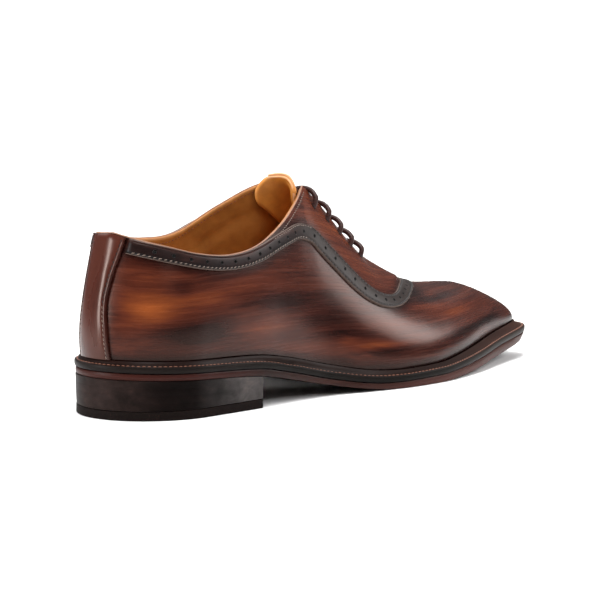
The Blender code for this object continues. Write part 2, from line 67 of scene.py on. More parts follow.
# The first column is where each row stands: along the shoe, or along the walk round the outline.
tables = {
    "weltWidth": {
        "along": (40, 60, 80, 100, 125, 150, 172, 195, 215, 238, 262),
        "outer": (36.6, 37.3, 37.4, 36.6, 37.2, 43.6, 48.4, 49.8, 47.4, 41.8, 33.8),
        "inner": (36.0, 36.0, 33.8, 31.0, 30.2, 35.5, 43.5, 49.2, 51.0, 48.4, 41.4),
    },
    "soleLine": {
        "along": (0, 40, 76, 100, 128, 152, 172, 202, 235, 270, 310.5),
        "rise": (19.2, 17.7, 15.2, 10.9, 5.0, 1.1, 0.0, 0.0, 2.2, 5.4, 8.6),
        "thickness": (3.2, 3.2, 3.5, 3.3, 3.0, 3.0, 3.4, 4.0, 4.5, 4.7, 4.4),
        "lip": (2.0, 2.2, 2.9, 3.6, 3.4, 2.7, 2.0, 1.8, 2.4, 2.6, 2.8),
    },
    "shelf": {
        "walk": (0, 60, 120, 190, 260, 334),
        "reach": (3.4, 3.6, 3.2, 4.6, 5.8, 7.0),
    },
    "collar": {
        "walk": (0, 20, 40, 60, 80, 100, 120, 135, 145),
        "along": (11.5, 15.5, 25.5, 41.0, 61.0, 82.0, 107.0, 129.0, 142.0),
        "outer": (0.0, 13.5, 23.0, 28.4, 30.2, 29.0, 22.4, 12.4, 4.6),
        "inner": (0.0, 13.5, 22.6, 27.4, 28.4, 26.6, 21.0, 11.8, 4.6),
        "outerRise": (86.2, 83.2, 79.9, 75.8, 73.9, 76.8, 85.0, 93.7, 99.6),
        "innerRise": (86.2, 85.0, 83.8, 80.6, 78.0, 79.2, 90.8, 100.8, 99.2),
    },
    "ridge": {
        "walk": (145, 160, 180, 200, 222, 240, 260, 282, 300, 318, 334),
        "along": (142.0, 157.0, 175.0, 191.5, 208.0, 223.0, 242.0, 262.0, 270.0, 275.0, 278.0),
        "outerRise": (99.6, 88.2, 72.7, 59.9, 51.1, 45.5, 42.8, 41.3, 40.3, 39.1, 37.9),
        "innerRise": (99.2, 88.0, 72.7, 59.9, 51.1, 45.5, 42.8, 41.3, 40.3, 39.1, 37.9),
        "shift": (0.0, 0.0, 0.0, 0.2, 0.6, 1.2, 2.2, 3.2, 3.6, 3.6, 3.6),
        "slit": (4.6, 3.6, 2.8, 2.0, 0.0, 0.0, 0.0, 0.0, 0.0, 0.0, 0.0),
    },
    "pull": {
        "walk": (0, 30, 60, 90, 120, 145, 165, 190, 210, 228, 245, 282, 305, 334),
        "bulge": (2.4, 2.6, 3.0, 3.2, 3.0, 3.0, 3.2, 3.4, 3.3, 3.2, 2.8, 2.2, 1.4, 0.8),
        "lift": (0.33, 0.33, 0.34, 0.36, 0.40, 0.42, 0.42, 0.44, 0.48, 0.54, 0.60, 0.60, 0.42, 0.26),
        "flare": (5.0, 4.6, 4.4, 5.5, 9.0, 12.0, 12.0, 12.0, 12.0, 13.0, 15.0, 16.0, 11.0, 8.0),
        "fall": (0.35, 0.35, 0.34, 0.32, 0.28, 0.14, 0.10, 0.11, 0.09, 0.03, 0.0, 0.02, 0.16, 0.30),
    },
    "bandLine": {
        "step": (0, 1, 2, 3, 4, 5, 6, 7, 8, 9, 10, 11, 12, 13, 14, 15, 16, 17),
        "walk": (12.2, 40, 70, 95, 111, 122, 131, 139.6, 147, 158, 170, 183, 195, 208, 221, 234, 240.5, 234),
        "drop": (3.8, 3.8, 3.8, 4.0, 5.3, 8.4, 13.2, 22.4, 31.2, 35.6, 39.9, 40.8, 36.9, 29.8, 20.6, 10.6,
                 0.0, -10.6),
        "half": (3.6, 3.6, 3.6, 3.6, 3.6, 3.6, 3.9, 4.4, 4.7, 4.9, 4.9, 4.4, 3.8, 3.5, 3.4, 3.4, 3.4, 3.4),
    },
    "strapEdge": {
        "share": (0.0, 0.15, 0.27, 0.38, 0.5, 0.6, 0.7, 0.8, 0.9, 1.0),
        "outer": (7.2, 6.1, 5.2, 4.2, 3.9, 4.8, 5.9, 7.6, 9.4, 11.2),
        "inner": (21.0, 20.4, 20.0, 19.6, 19.4, 19.6, 20.0, 20.6, 21.3, 22.0),
    },
}


# Curves through the tables
@lru_cache(maxsize=None)
def smooth(name, column, at):
    table = tables[name]
    keys = next(iter(table.values()))
    values = table[column]
    final = len(keys) - 1
    i = 0
    while i < final - 1 and at > keys[i + 1]:
        i += 1

    def slope(j):
        before, after = max(j - 1, 0), min(j + 1, final)
        return (values[after] - values[before]) / (keys[after] - keys[before])

    span = keys[i + 1] - keys[i]
    t = min(max((at - keys[i]) / span, 0.0), 1.0)
    ends = (1 + 2 * t) * (1 - t) ** 2 * values[i] + t * t * (3 - 2 * t) * values[i + 1]
    return ends + t * (1 - t) ** 2 * span * slope(i) - t * t * (1 - t) * span * slope(i + 1)


def bezier(points, t):
    a, b, c, d = points
    s = 1 - t
    return a * s**3 + b * (3 * s * s * t) + c * (3 * s * t * t) + d * t**3


def ease(value, start, end):
    t = min(max((value - start) / (end - start), 0.0), 1.0)
    return t * t * (3 - 2 * t)


def hump(distance, reach):
    return math.exp(-(distance / reach) ** 2)


def sideName(side):
    return "outer" if side == outer else "inner"


# Plan outline of the welt, and what stands inside it
@lru_cache(maxsize=None)
def weltEdgeAt(side, walk):
    name = sideName(side)
    if walk <= last["heelWalk"]:
        turn = walk / last["heelWalk"] * math.pi / 2
        half = smooth("weltWidth", name, last["heelReach"])
        return Vector((last["heelReach"] * (1 - math.cos(turn)), side * half * math.sin(turn)))
    if walk <= last["toeWalk"]:
        along = last["heelReach"] + walk - last["heelWalk"]
        return Vector((along, side * smooth("weltWidth", name, along)))
    step = 0.5
    toe = last["toeStart"]
    start = Vector((toe, side * smooth("weltWidth", name, toe)))
    behind = Vector((toe - step, side * smooth("weltWidth", name, toe - step)))
    tip = Vector((last["length"], last["tipShift"]))
    sidePull = start + (start - behind) / step * last["toeSidePull"]
    frontPull = tip + Vector((0, side * last["toeFrontPull"]))
    share = (walk - last["toeWalk"]) / (last["endWalk"] - last["toeWalk"])
    return bezier((start, sidePull, frontPull, tip), share)


@lru_cache(maxsize=None)
def inwardAt(side, walk):
    step = 0.5
    run = weltEdgeAt(side, min(walk + step, last["endWalk"])) - weltEdgeAt(side, max(walk - step, 0.0))
    if walk <= 0:
        run = Vector((0, side))
    if walk >= last["endWalk"]:
        run = Vector((0, -side))
    return Vector((run.y, -run.x)).normalized() * side


def planPoint(side, walk, inset):
    return weltEdgeAt(side, walk) + inwardAt(side, walk) * inset


def soleRise(along):
    return max(smooth("soleLine", "rise", along), 0.0)


def outsoleTop(along):
    return soleRise(along) + smooth("soleLine", "thickness", along)


def weltBottom(along):
    return outsoleTop(along) + last["gap"]


def weltLip(along):
    return weltBottom(along) + last["weltEdge"] + smooth("soleLine", "lip", along)


def shelf(walk):
    return smooth("shelf", "reach", walk)


# The surface of the upper: a walk round the outline, and a share of the section from welt to top
def topPoint(side, walk):
    name = sideName(side)
    if walk <= last["cornerWalk"]:
        half = smooth("collar", name, walk)
        return Vector((smooth("collar", "along", walk), side * half, smooth("collar", name + "Rise", walk)))
    across = smooth("ridge", "shift", walk)
    if walk <= last["slitEnd"]:
        across += side * smooth("ridge", "slit", walk)
    return Vector((smooth("ridge", "along", walk), across, smooth("ridge", name + "Rise", walk)))


@lru_cache(maxsize=None)
def sectionAt(side, walk):
    plan = planPoint(side, walk, shelf(walk))
    foot = Vector((plan.x, plan.y, weltLip(plan.x) + last["gap"]))
    top = topPoint(side, walk)
    outward = Vector((foot.x - top.x, foot.y - top.y, 0)).normalized()
    height = Vector((0, 0, top.z - foot.z))
    nearFoot = foot + outward * smooth("pull", "bulge", walk) + height * smooth("pull", "lift", walk)
    nearTop = top + outward * smooth("pull", "flare", walk) - height * smooth("pull", "fall", walk)
    return foot, nearFoot, nearTop, top


def upperPoint(side, walk, share):
    if share > 1:
        side, share = -side, 2 - share
    if walk < 0:
        side, walk = -side, -walk
    if walk > last["endWalk"]:
        side, walk = -side, 2 * last["endWalk"] - walk
    return bezier(sectionAt(side, walk), share)


def upperFrame(side, walk, share):
    step, rise = 0.25, 0.004
    high = share + rise if share + rise <= 1 or walk > last["slitEnd"] else 1.0
    low = max(share - rise, 0.0)
    byWalk = (upperPoint(side, walk + step, share) - upperPoint(side, walk - step, share)) / (2 * step)
    byShare = (upperPoint(side, walk, high) - upperPoint(side, walk, low)) / (high - low)
    out = byWalk.cross(byShare).normalized() * -side
    return upperPoint(side, walk, share), byWalk, byShare, out


def upperSpot(side, walk, share):
    point, _, _, out = upperFrame(side, walk, share)
    return point, out


@lru_cache(maxsize=None)
def shareAtDrop(side, walk, drop):
    steps = 48
    share, left = 1.0, drop
    here = upperPoint(side, walk, share)
    while share > 0:
        following = upperPoint(side, walk, share - 1 / steps)
        run = (following - here).length
        if run >= left:
            return share - left / run / steps
        share, left, here = share - 1 / steps, left - run, following
    return 0.0


def dropSpot(side, walk, drop):
    return upperSpot(side, walk, shareAtDrop(side, walk, drop))


# Walk and share of the surface's place nearest to a target, found in repeated steps
def settle(side, target, walk, share):
    rounds, topShare = 5, 0.998
    for _ in range(rounds):
        point, byWalk, byShare, _ = upperFrame(side, walk, share)
        error = target - point
        ww, ws, ss = byWalk.dot(byWalk), byWalk.dot(byShare), byShare.dot(byShare)
        ew, es = error.dot(byWalk), error.dot(byShare)
        scale = ww * ss - ws * ws
        walk += (ew * ss - es * ws) / scale
        share += (es * ww - ew * ws) / scale
        share = max(share, 0.0) if walk > last["slitEnd"] else min(max(share, 0.0), topShare)
    return walk, share


def walkStops(spacing, final):
    stops = [0.0]
    for end, step in spacing:
        stop = min(end, final)
        if stop > stops[-1]:
            begin = stops[-1]
            count = max(1, round((stop - begin) / step))
            stops += [begin + (stop - begin) * i / count for i in range(1, count + 1)]
    return stops


def ringStops(spacing, final):
    stops = walkStops(spacing, final)
    return [-stop for stop in stops[:0:-1]] + stops


def splitWalk(walk):
    return (inner, walk) if walk >= 0 else (outer, -walk)


planStops = walkStops([(last["endWalk"], last["planStep"])], last["endWalk"])
widest = max(abs(weltEdgeAt(outer, walk).y) for walk in planStops)
origin = Vector((cadBox[0].x, cadBox[0].y + widest * mm, 0.0))
roundSpacing = [(60.0, 1.6), (145.0, 2.0), (222.0, 2.0), (282.0, 1.8), (334.0, 1.0)]


# Making and finishing of meshes
def sheet(columns, rows, place, weld=0.004):
    bm = bmesh.new()
    flowLayer = bm.verts.layers.float_vector.new("flow")
    toneLayer = bm.verts.layers.float.new("tone")
    bmesh.ops.create_grid(bm, x_segments=columns, y_segments=rows, size=1.0)
    for vert in bm.verts:
        i = round((vert.co.x + 1) / 2 * columns)
        j = round((vert.co.y + 1) / 2 * rows)
        vert.co, vert[flowLayer], vert[toneLayer] = place(i, j)
    bmesh.ops.remove_doubles(bm, verts=bm.verts, dist=weld)
    bmesh.ops.dissolve_degenerate(bm, edges=bm.edges, dist=weld)
    bmesh.ops.recalc_face_normals(bm, faces=bm.faces)
    return bm


def closeEnds(bm):
    bmesh.ops.holes_fill(bm, edges=[edge for edge in bm.edges if edge.is_boundary], sides=0)
    bmesh.ops.recalc_face_normals(bm, faces=bm.faces)


def meshOf(name, bm):
    mesh = bpy.data.meshes.new(name)
    bm.to_mesh(mesh)
    bm.free()
    return mesh


def addObject(name, data):
    made = bpy.data.objects.new(name, data)
    bpy.context.scene.collection.objects.link(made)
    return made


def finishPiece(name, bm, materials, nodes=(), sharp=40):
    bmesh.ops.scale(bm, vec=(mm, mm, mm), verts=bm.verts)
    bmesh.ops.translate(bm, vec=origin, verts=bm.verts)
    mesh = meshOf(name, bm)
    mesh.shade_smooth()
    mesh.set_sharp_from_angle(angle=math.radians(sharp))
    for material in materials:
        mesh.materials.append(material)
    piece = addObject(name, mesh)
    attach(piece, "root")
    if nodes:
        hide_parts(*nodes)
    print("made", name, "with", len(mesh.polygons), "faces")
    return piece


def thicken(piece, thickness, offset=-1.0, **choices):
    wall = piece.modifiers.new("wall", "SOLIDIFY")
    wall.thickness = thickness * mm
    wall.offset = offset
    for choice, value in choices.items():
        setattr(wall, choice, value)


pathCuts = 3


def softPath(points, cuts):
    path = []
    for i in range(len(points) - 1):
        before, start = points[max(i - 1, 0)], points[i]
        end, after = points[i + 1], points[min(i + 2, len(points) - 1)]
        for k in range(cuts):
            t = k / cuts
            pull = (end - before) * (t - 2 * t * t + t**3) + (after - start) * (t**3 - t * t)
            path.append(start * (1 - 3 * t * t + 2 * t**3) + end * (3 * t * t - 2 * t**3) + pull * 0.5)
    return path + [points[-1]]


def tube(path, radius, around):
    runs = [(path[min(i + 1, len(path) - 1)] - path[max(i - 1, 0)]).normalized() for i in range(len(path))]
    level = runs[0].orthogonal().normalized()
    frames, length = [], 0.0
    for i, run in enumerate(runs):
        level = (level - run * level.dot(run)).normalized()
        if i:
            length += (path[i] - path[i - 1]).length
        frames.append((level, run.cross(level), length))

    def place(i, j):
        side, other, reach = frames[i]
        turn = 2 * math.pi * (j % around) / around
        point = path[i] + (side * math.cos(turn) + other * math.sin(turn)) * radius
        return point, (reach, j / around, 0.0), 0.0

    bm = sheet(len(path) - 1, around, place)
    closeEnds(bm)
    return bm


def addStitch(bm, spot, run, out, size, slant=0.0):
    along = run * math.cos(slant) + out.cross(run) * math.sin(slant)
    long, wide, high = size
    place = Matrix((along * long, out.cross(along) * wide, out * high)).transposed().to_4x4()
    place.translation = spot
    ball = bmesh.ops.create_uvsphere(bm, u_segments=6, v_segments=4, radius=0.5)
    bmesh.ops.transform(bm, matrix=place, verts=ball["verts"])


def stitchRow(bm, spots, size, pitch, slant=0.0, rise=0.0):
    left = pitch / 2
    for (start, out), (end, _) in zip(spots, spots[1:]):
        length = (end - start).length
        while left < length:
            run = (end - start) / length
            across = out.cross(run).normalized()
            addStitch(bm, start + run * left + out * rise, run, across.cross(run) * -1, size, slant)
            left += pitch
        left -= length


# Node helpers
def startMaterial(name, look):
    material = bpy.data.materials.new(name)
    material.use_nodes = True
    tree = material.node_tree
    shader = tree.nodes["Principled BSDF"]
    for socket, value in look.items():
        shader.inputs[socket].default_value = value
    return material, tree, shader


def addNode(tree, kind, inputs=None, **choices):
    node = tree.nodes.new("ShaderNode" + kind)
    for choice, value in choices.items():
        setattr(node, choice, value)
    for socket, value in (inputs or {}).items():
        if isinstance(value, bpy.types.NodeSocket):
            tree.links.new(value, node.inputs[socket])
        else:
            node.inputs[socket].default_value = value
    return node


def flowOf(tree):
    return addNode(tree, "Attribute", attribute_name="flow").outputs["Vector"]


def toneOf(tree):
    return addNode(tree, "Attribute", attribute_name="tone").outputs["Fac"]


def placeOf(tree):
    return addNode(tree, "TexCoord").outputs["Object"]


def calculate(tree, operation, first, second=0.0, **choices):
    return addNode(tree, "Math", {0: first, 1: second}, operation=operation, **choices).outputs[0]


def streaks(tree, source, scale, detail, twist=0.0):
    placed = addNode(tree, "Mapping", {"Vector": source, "Scale": scale}).outputs["Vector"]
    cloud = {"Vector": placed, "Scale": 1.0, "Detail": detail, "Roughness": 0.6, "Distortion": twist}
    return addNode(tree, "TexNoise", cloud).outputs["Fac"]


def grain(tree, size, detail=3.0):
    cloud = {"Vector": placeOf(tree), "Scale": 1 / (size * mm), "Detail": detail}
    return addNode(tree, "TexNoise", cloud).outputs["Fac"]


def pores(tree, size):
    cells = {"Vector": placeOf(tree), "Scale": 1 / (size * mm)}
    return addNode(tree, "TexVoronoi", cells).outputs["Distance"]


def weigh(tree, total, parts):
    for source, weight in parts:
        total = calculate(tree, "ADD", calculate(tree, "MULTIPLY", source, weight), total)
    return total


def ramp(tree, source, at, colours):
    node = addNode(tree, "ValToRGB", {"Fac": source})
    points = node.color_ramp.elements
    while len(points) < len(at):
        points.new(0.5)
    for point, place, colour in zip(points, at, colours):
        point.position = place
        point.color = (*colour, 1.0)
    return node.outputs["Color"]


def between(tree, source, limits):
    ends = {"Value": source, "From Min": limits[0], "From Max": limits[1]}
    return addNode(tree, "MapRange", ends).outputs["Result"]


def mixed(tree, share, first, second, blend="MIX"):
    colours = {"Fac": share, "Color1": first, "Color2": second}
    return addNode(tree, "MixRGB", colours, blend_type=blend).outputs["Color"]


def paint(tree, shader, colour, source, rough):
    ends = {"Value": source, "To Min": rough[0], "To Max": rough[1]}
    tree.links.new(colour, shader.inputs["Base Color"])
    tree.links.new(addNode(tree, "MapRange", ends).outputs["Result"], shader.inputs["Roughness"])


def emboss(tree, shader, height, strength, depth):
    bump = addNode(tree, "Bump", {"Height": height, "Strength": strength, "Distance": depth * mm})
    tree.links.new(bump.outputs["Normal"], shader.inputs["Normal"])


def leatherGrain(tree, fine, large):
    return weigh(tree, 0.0, [(grain(tree, fine[0]), fine[1]), (pores(tree, large[0]), large[1])])


# Finishes. at: places of the colours on a ramp. Streaks: scale, detail, twist. grain: size and weight of
# the fine and the large grain. bump: strength and depth. look: values of the shader's own sockets.
patina = {
    "at": (0.14, 0.34, 0.52, 0.70, 0.92),
    "colours": ((0.0075, 0.0014, 0.0012), (0.027, 0.0056, 0.0036), (0.070, 0.0155, 0.0078),
                (0.130, 0.0300, 0.0098), (0.230, 0.0560, 0.0140)),
    "broad": ((0.012, 0.11, 1.0), 3.0, 0.4), "brush": ((0.022, 0.55, 1.0), 4.0),
    "hair": ((0.05, 2.2, 1.0), 2.0),
    "base": -0.08, "weights": (0.58, 0.29, 0.11, 0.62), "rough": (0.20, 0.34),
    "grain": ((0.35, 0.5), (0.8, 0.3)), "hairHeight": 0.2, "bump": (0.08, 0.25),
    "look": {"Coat Weight": 0.05, "Coat Roughness": 0.12, "Specular IOR Level": 0.21,
             "Specular Tint": (1.0, 0.68, 0.57, 1.0)},
}


def patinaLeather():
    material, tree, shader = startMaterial("patinaLeather", patina["look"])
    flow = flowOf(tree)
    broad, brush, hair = (streaks(tree, flow, *patina[name]) for name in ("broad", "brush", "hair"))
    value = weigh(tree, patina["base"], zip((broad, brush, hair, toneOf(tree)), patina["weights"]))
    paint(tree, shader, ramp(tree, value, patina["at"], patina["colours"]), brush, patina["rough"])
    height = weigh(tree, leatherGrain(tree, *patina["grain"]), [(hair, patina["hairHeight"])])
    emboss(tree, shader, height, *patina["bump"])
    return material


strapLook = {
    "at": (0.2, 0.5, 0.8),
    "colours": ((0.022, 0.0052, 0.0036), (0.050, 0.0120, 0.0075), (0.082, 0.0205, 0.0115)),
    "cloud": ((60.0, 60.0, 22.0), 4.0), "base": 0.18, "weights": (0.66, 0.6), "rough": (0.22, 0.32),
    "grain": ((0.35, 0.5), (0.8, 0.3)), "bump": (0.06, 0.25),
    "look": {"Coat Weight": 0.08, "Coat Roughness": 0.16, "Specular IOR Level": 0.25,
             "Specular Tint": (1.0, 0.78, 0.68, 1.0)},
}


def strapLeather():
    material, tree, shader = startMaterial("strapLeather", strapLook["look"])
    cloud = streaks(tree, placeOf(tree), *strapLook["cloud"])
    value = weigh(tree, strapLook["base"], zip((cloud, toneOf(tree)), strapLook["weights"]))
    paint(tree, shader, ramp(tree, value, strapLook["at"], strapLook["colours"]), cloud, strapLook["rough"])
    emboss(tree, shader, leatherGrain(tree, *strapLook["grain"]), *strapLook["bump"])
    return material


# Limits are distances from the band's middle in millimetres. The collar's rolled top is lighter, a painted
# sheen, and the front's colours are a lighter copy of the collar's, a painted sheen.
bandLook = {
    "at": (0.25, 0.55, 0.8),
    "collar": ((0.0040, 0.0012, 0.0011), (0.0095, 0.0027, 0.0021), (0.034, 0.0105, 0.0070)),
    "front": ((0.0125, 0.0088, 0.0078), (0.024, 0.0170, 0.0150), (0.042, 0.031, 0.027)),
    "cloud": ((0.05, 0.25, 1.0), 5.0), "rollSheen": 0.075,
    # a light line on both rims: the cut edge's own colour and a painted highlight
    "edge": (0.090, 0.062, 0.050, 1.0), "edgeLimits": (3.15, 3.45),
    # the dark stitch channel is painted shade
    "channelShade": (0.0035, 0.0022, 0.0020, 1.0), "channelAt": 2.62, "channelLimits": (0.5, 0.28),
    "rough": (0.34, 0.5), "grain": ((0.3, 0.5), (0.6, 0.4)), "bump": (0.14, 0.25),
    "look": {"Coat Weight": 0.02, "Coat Roughness": 0.25, "Specular IOR Level": 0.14},
}


def bandLeather():
    material, tree, shader = startMaterial("bandLeather", bandLook["look"])
    flow, tone = flowOf(tree), toneOf(tree)
    cloud = streaks(tree, flow, *bandLook["cloud"])
    across = addNode(tree, "SeparateXYZ", {"Vector": flow}).outputs["Y"]
    away = calculate(tree, "ABSOLUTE", across)
    # a painted sheen: the collar's rolled top is lighter
    rollSheen = weigh(tree, cloud, [(across, bandLook["rollSheen"])])
    collar = ramp(tree, rollSheen, bandLook["at"], bandLook["collar"])
    front = ramp(tree, cloud, bandLook["at"], bandLook["front"])
    # the front takes a lighter copy of the collar's colours, a painted sheen
    base = mixed(tree, tone, collar, front)
    # a light line on both rims: the cut edge's lighter colour and a painted highlight on the rounded lip
    base = mixed(tree, between(tree, away, bandLook["edgeLimits"]), base, bandLook["edge"])
    # painted shade in the stitch channel on the collar's lower edge
    beside = calculate(tree, "ABSOLUTE", calculate(tree, "SUBTRACT", away, bandLook["channelAt"]))
    lower = calculate(tree, "LESS_THAN", across)  # the painted shade in the stitch channel shows on the collar's lower edge only
    kept = calculate(tree, "SUBTRACT", lower, tone, use_clamp=True)
    shown = calculate(tree, "MULTIPLY", between(tree, beside, bandLook["channelLimits"]), kept)
    paint(tree, shader, mixed(tree, shown, base, bandLook["channelShade"]), cloud, bandLook["rough"])
    emboss(tree, shader, leatherGrain(tree, *bandLook["grain"]), *bandLook["bump"])
    return material


tanLook = {
    "at": (0.25, 0.5, 0.75),
    "colours": {
        "liningLeather": ((0.23, 0.078, 0.013), (0.390, 0.145, 0.026), (0.53, 0.215, 0.048)),
        "tongueLining": ((0.36, 0.125, 0.018), (0.560, 0.215, 0.035), (0.70, 0.300, 0.065)),
        "tongueEdge": ((0.50, 0.235, 0.095), (0.66, 0.345, 0.160), (0.78, 0.455, 0.250)),
        "collarEdge": ((0.19, 0.088, 0.048), (0.28, 0.135, 0.075), (0.38, 0.195, 0.115)),
    },
    "cloud": ((28.0, 40.0, 40.0), 5.0, 0.6), "mottle": (5.0, 4.0), "base": -0.05, "weights": (0.75, 0.35),
    "rough": (0.42, 0.6), "grain": ((0.4, 0.5), (0.9, 0.4)), "bump": (0.14, 0.3),
    "look": {"Specular IOR Level": 0.4},
}


def tanLeather(name):
    material, tree, shader = startMaterial(name, tanLook["look"])
    cloud = streaks(tree, placeOf(tree), *tanLook["cloud"])
    mottle = grain(tree, *tanLook["mottle"])
    value = weigh(tree, tanLook["base"], zip((cloud, mottle), tanLook["weights"]))
    paint(tree, shader, ramp(tree, value, tanLook["at"], tanLook["colours"][name]), cloud, tanLook["rough"])
    emboss(tree, shader, leatherGrain(tree, *tanLook["grain"]), *tanLook["bump"])
    return material


# Cut edges: across shows the layers, and along scales them from the back of the shoe to the toe; the welt's
# bright toe and the heel's grey towards the breast are painted sheen
edgeLook = {
    "at": (0.3, 0.6, 0.85), "layerHeight": 0.7, "grain": 0.5, "grainHeight": 0.4, "bump": (0.18, 0.25),
}
edgeLooks = {
    "weltLeather": {
        "across": ((0.0046, 0.0036, 0.0032), (0.0095, 0.0072, 0.0062), (0.019, 0.0140, 0.0120)),
        "top": ((0.0066, 0.0028, 0.0021), (0.0130, 0.0056, 0.0040), (0.024, 0.0105, 0.0072)),
        "topLimits": (last["weltEdge"] - 0.5, last["weltEdge"] - 0.1),
        "alongAt": (0.0, 0.3, 0.65, 1.0),
        # the factor rising to 3.2 at the toe is a painted sheen
        "along": ((1.0, 0.9, 0.9), (0.8, 0.8, 0.8), (1.0, 1.0, 1.0), (3.2, 3.2, 3.2)),
        "layers": ((9.0, 9.0, 260.0), 5.0, 0.3), "rough": (0.34, 0.52), "gloss": 0.06,
    },
    "soleLeather": {
        "across": ((0.030, 0.0105, 0.0080), (0.055, 0.0195, 0.0145), (0.095, 0.035, 0.026)),
        "alongAt": (0.0, 0.14, 0.26, 0.45, 0.65, 1.0),
        "along": ((0.8, 0.50, 0.44), (0.7, 0.42, 0.38), (0.30, 0.30, 0.31), (0.8, 0.75, 0.75),
                  (1.3, 1.2, 1.2), (0.9, 0.95, 0.95)),
        "layers": ((9.0, 9.0, 260.0), 5.0, 0.3), "rough": (0.34, 0.52), "gloss": 0.10,
    },
    "heelLeather": {
        "across": ((0.0055, 0.0036, 0.0031), (0.0110, 0.0068, 0.0060), (0.022, 0.0120, 0.0095)),
        # the rising factor towards the heel's breast is a painted grey sheen
        "alongAt": (0.0, 0.05, 0.10, 0.15, 0.19, 0.24),
        "along": ((2.0, 2.0, 2.0), (0.5, 0.45, 0.45), (0.4, 0.4, 0.4), (2.2, 3.0, 3.3),
                  (5.5, 7.8, 8.6), (6.5, 9.2, 10.2)),
        "layers": ((120.0, 120.0, 160.0), 5.0, 0.3), "rough": (0.34, 0.48), "gloss": 0.03,
    },
}


def edgeLeather(name):
    look = edgeLooks[name]
    material, tree, shader = startMaterial(name, {"Specular IOR Level": look["gloss"]})
    layers = streaks(tree, placeOf(tree), *look["layers"])
    base = ramp(tree, layers, edgeLook["at"], look["across"])
    parts = addNode(tree, "SeparateXYZ", {"Vector": flowOf(tree)}).outputs
    if "top" in look:  # the upper face has its own colour above the rounded edge
        upward = between(tree, parts["Y"], look["topLimits"])
        base = mixed(tree, upward, base, ramp(tree, layers, edgeLook["at"], look["top"]))
    share = calculate(tree, "DIVIDE", parts["X"], last["length"])
    # along the length: the welt's toe and the heel's breast get a painted sheen
    shade = ramp(tree, share, look["alongAt"], look["along"])
    paint(tree, shader, mixed(tree, 1.0, base, shade, "MULTIPLY"), layers, look["rough"])
    heights = [(layers, edgeLook["layerHeight"]), (grain(tree, edgeLook["grain"]), edgeLook["grainHeight"])]
    emboss(tree, shader, weigh(tree, 0.0, heights), *edgeLook["bump"])
    return material


threadLook = {
    "at": (0.3, 0.7), "twist": (0.45, 2.0), "rough": (0.5, 0.7), "bump": (0.5, 0.15),
    "look": {"Sheen Weight": 0.25, "Specular IOR Level": 0.35},
}
# Dark and light colour of each thread, and of the painted shadow deep in the holes; the pale thread is a lit
# copy of the dark one, a painted sheen
threadColours = {
    "holeShadow": ((0.0016, 0.0010, 0.0009), (0.0040, 0.0026, 0.0022)),
    "darkThread": ((0.0022, 0.0013, 0.0012), (0.0075, 0.0042, 0.0036)),
    "sheenThread": ((0.07, 0.045, 0.034), (0.26, 0.185, 0.145)),
    "rustThread": ((0.10, 0.026, 0.010), (0.33, 0.105, 0.042)),
}


def threadFinish(name):
    material, tree, shader = startMaterial(name, threadLook["look"])
    twist = grain(tree, *threadLook["twist"])
    paint(tree, shader, ramp(tree, twist, threadLook["at"], threadColours[name]), twist, threadLook["rough"])
    emboss(tree, shader, twist, *threadLook["bump"])
    return material


braid = {
    "at": (0.2, 0.55, 0.85),
    "colours": ((0.0060, 0.0016, 0.0014), (0.026, 0.0066, 0.0050), (0.062, 0.0180, 0.0125)),
    "along": 4.2, "around": 3, "fibre": (0.25, 2.0), "base": 0.30, "weights": (0.22, 0.35),
    "rough": (0.38, 0.55), "bump": (0.6, 0.2),
    "look": {"Coat Weight": 0.08, "Coat Roughness": 0.3, "Specular IOR Level": 0.2},
}


def laceFinish():
    material, tree, shader = startMaterial("laceCord", braid["look"])
    parts = addNode(tree, "SeparateXYZ", {"Vector": flowOf(tree)}).outputs
    waves = []
    for turn in (1.0, -1.0):  # two sets of strands cross in the braid
        lay = turn * 2 * math.pi * braid["around"]
        angle = weigh(tree, 0.0, [(parts["X"], braid["along"]), (parts["Y"], lay)])
        waves.append(calculate(tree, "SINE", angle))
    fibre = grain(tree, *braid["fibre"])
    value = weigh(tree, braid["base"], zip((calculate(tree, "MAXIMUM", *waves), fibre), braid["weights"]))
    paint(tree, shader, ramp(tree, value, braid["at"], braid["colours"]), fibre, braid["rough"])
    emboss(tree, shader, value, *braid["bump"])
    return material


rubberLook = {
    "at": (0.3, 0.62, 0.8),
    "colours": ((0.0045, 0.0032, 0.0029), (0.0100, 0.0066, 0.0058), (0.036, 0.0150, 0.0100)),
    "speck": (0.8, 4.0), "rough": (0.5, 0.72), "bump": (0.25, 0.2), "look": {"Specular IOR Level": 0.03},
}


def rubberFinish():
    material, tree, shader = startMaterial("heelRubber", rubberLook["look"])
    speck = grain(tree, *rubberLook["speck"])
    colour = ramp(tree, speck, rubberLook["at"], rubberLook["colours"])
    paint(tree, shader, colour, speck, rubberLook["rough"])
    emboss(tree, shader, speck, *rubberLook["bump"])
    return material


upperFinish, strapFinish, bandFinish = patinaLeather(), strapLeather(), bandLeather()
liningFinish, tongueFinish, rimFinish, pipeFinish = (tanLeather(name) for name in tanLook["colours"])
weltFinish, soleFinish, heelFinish = (edgeLeather(name) for name in edgeLooks)
holeShadowFinish, darkThread, sheenThread, rustThread = (threadFinish(name) for name in threadColours)
cordFinish, heelRubber = laceFinish(), rubberFinish()
print("finishes ready")


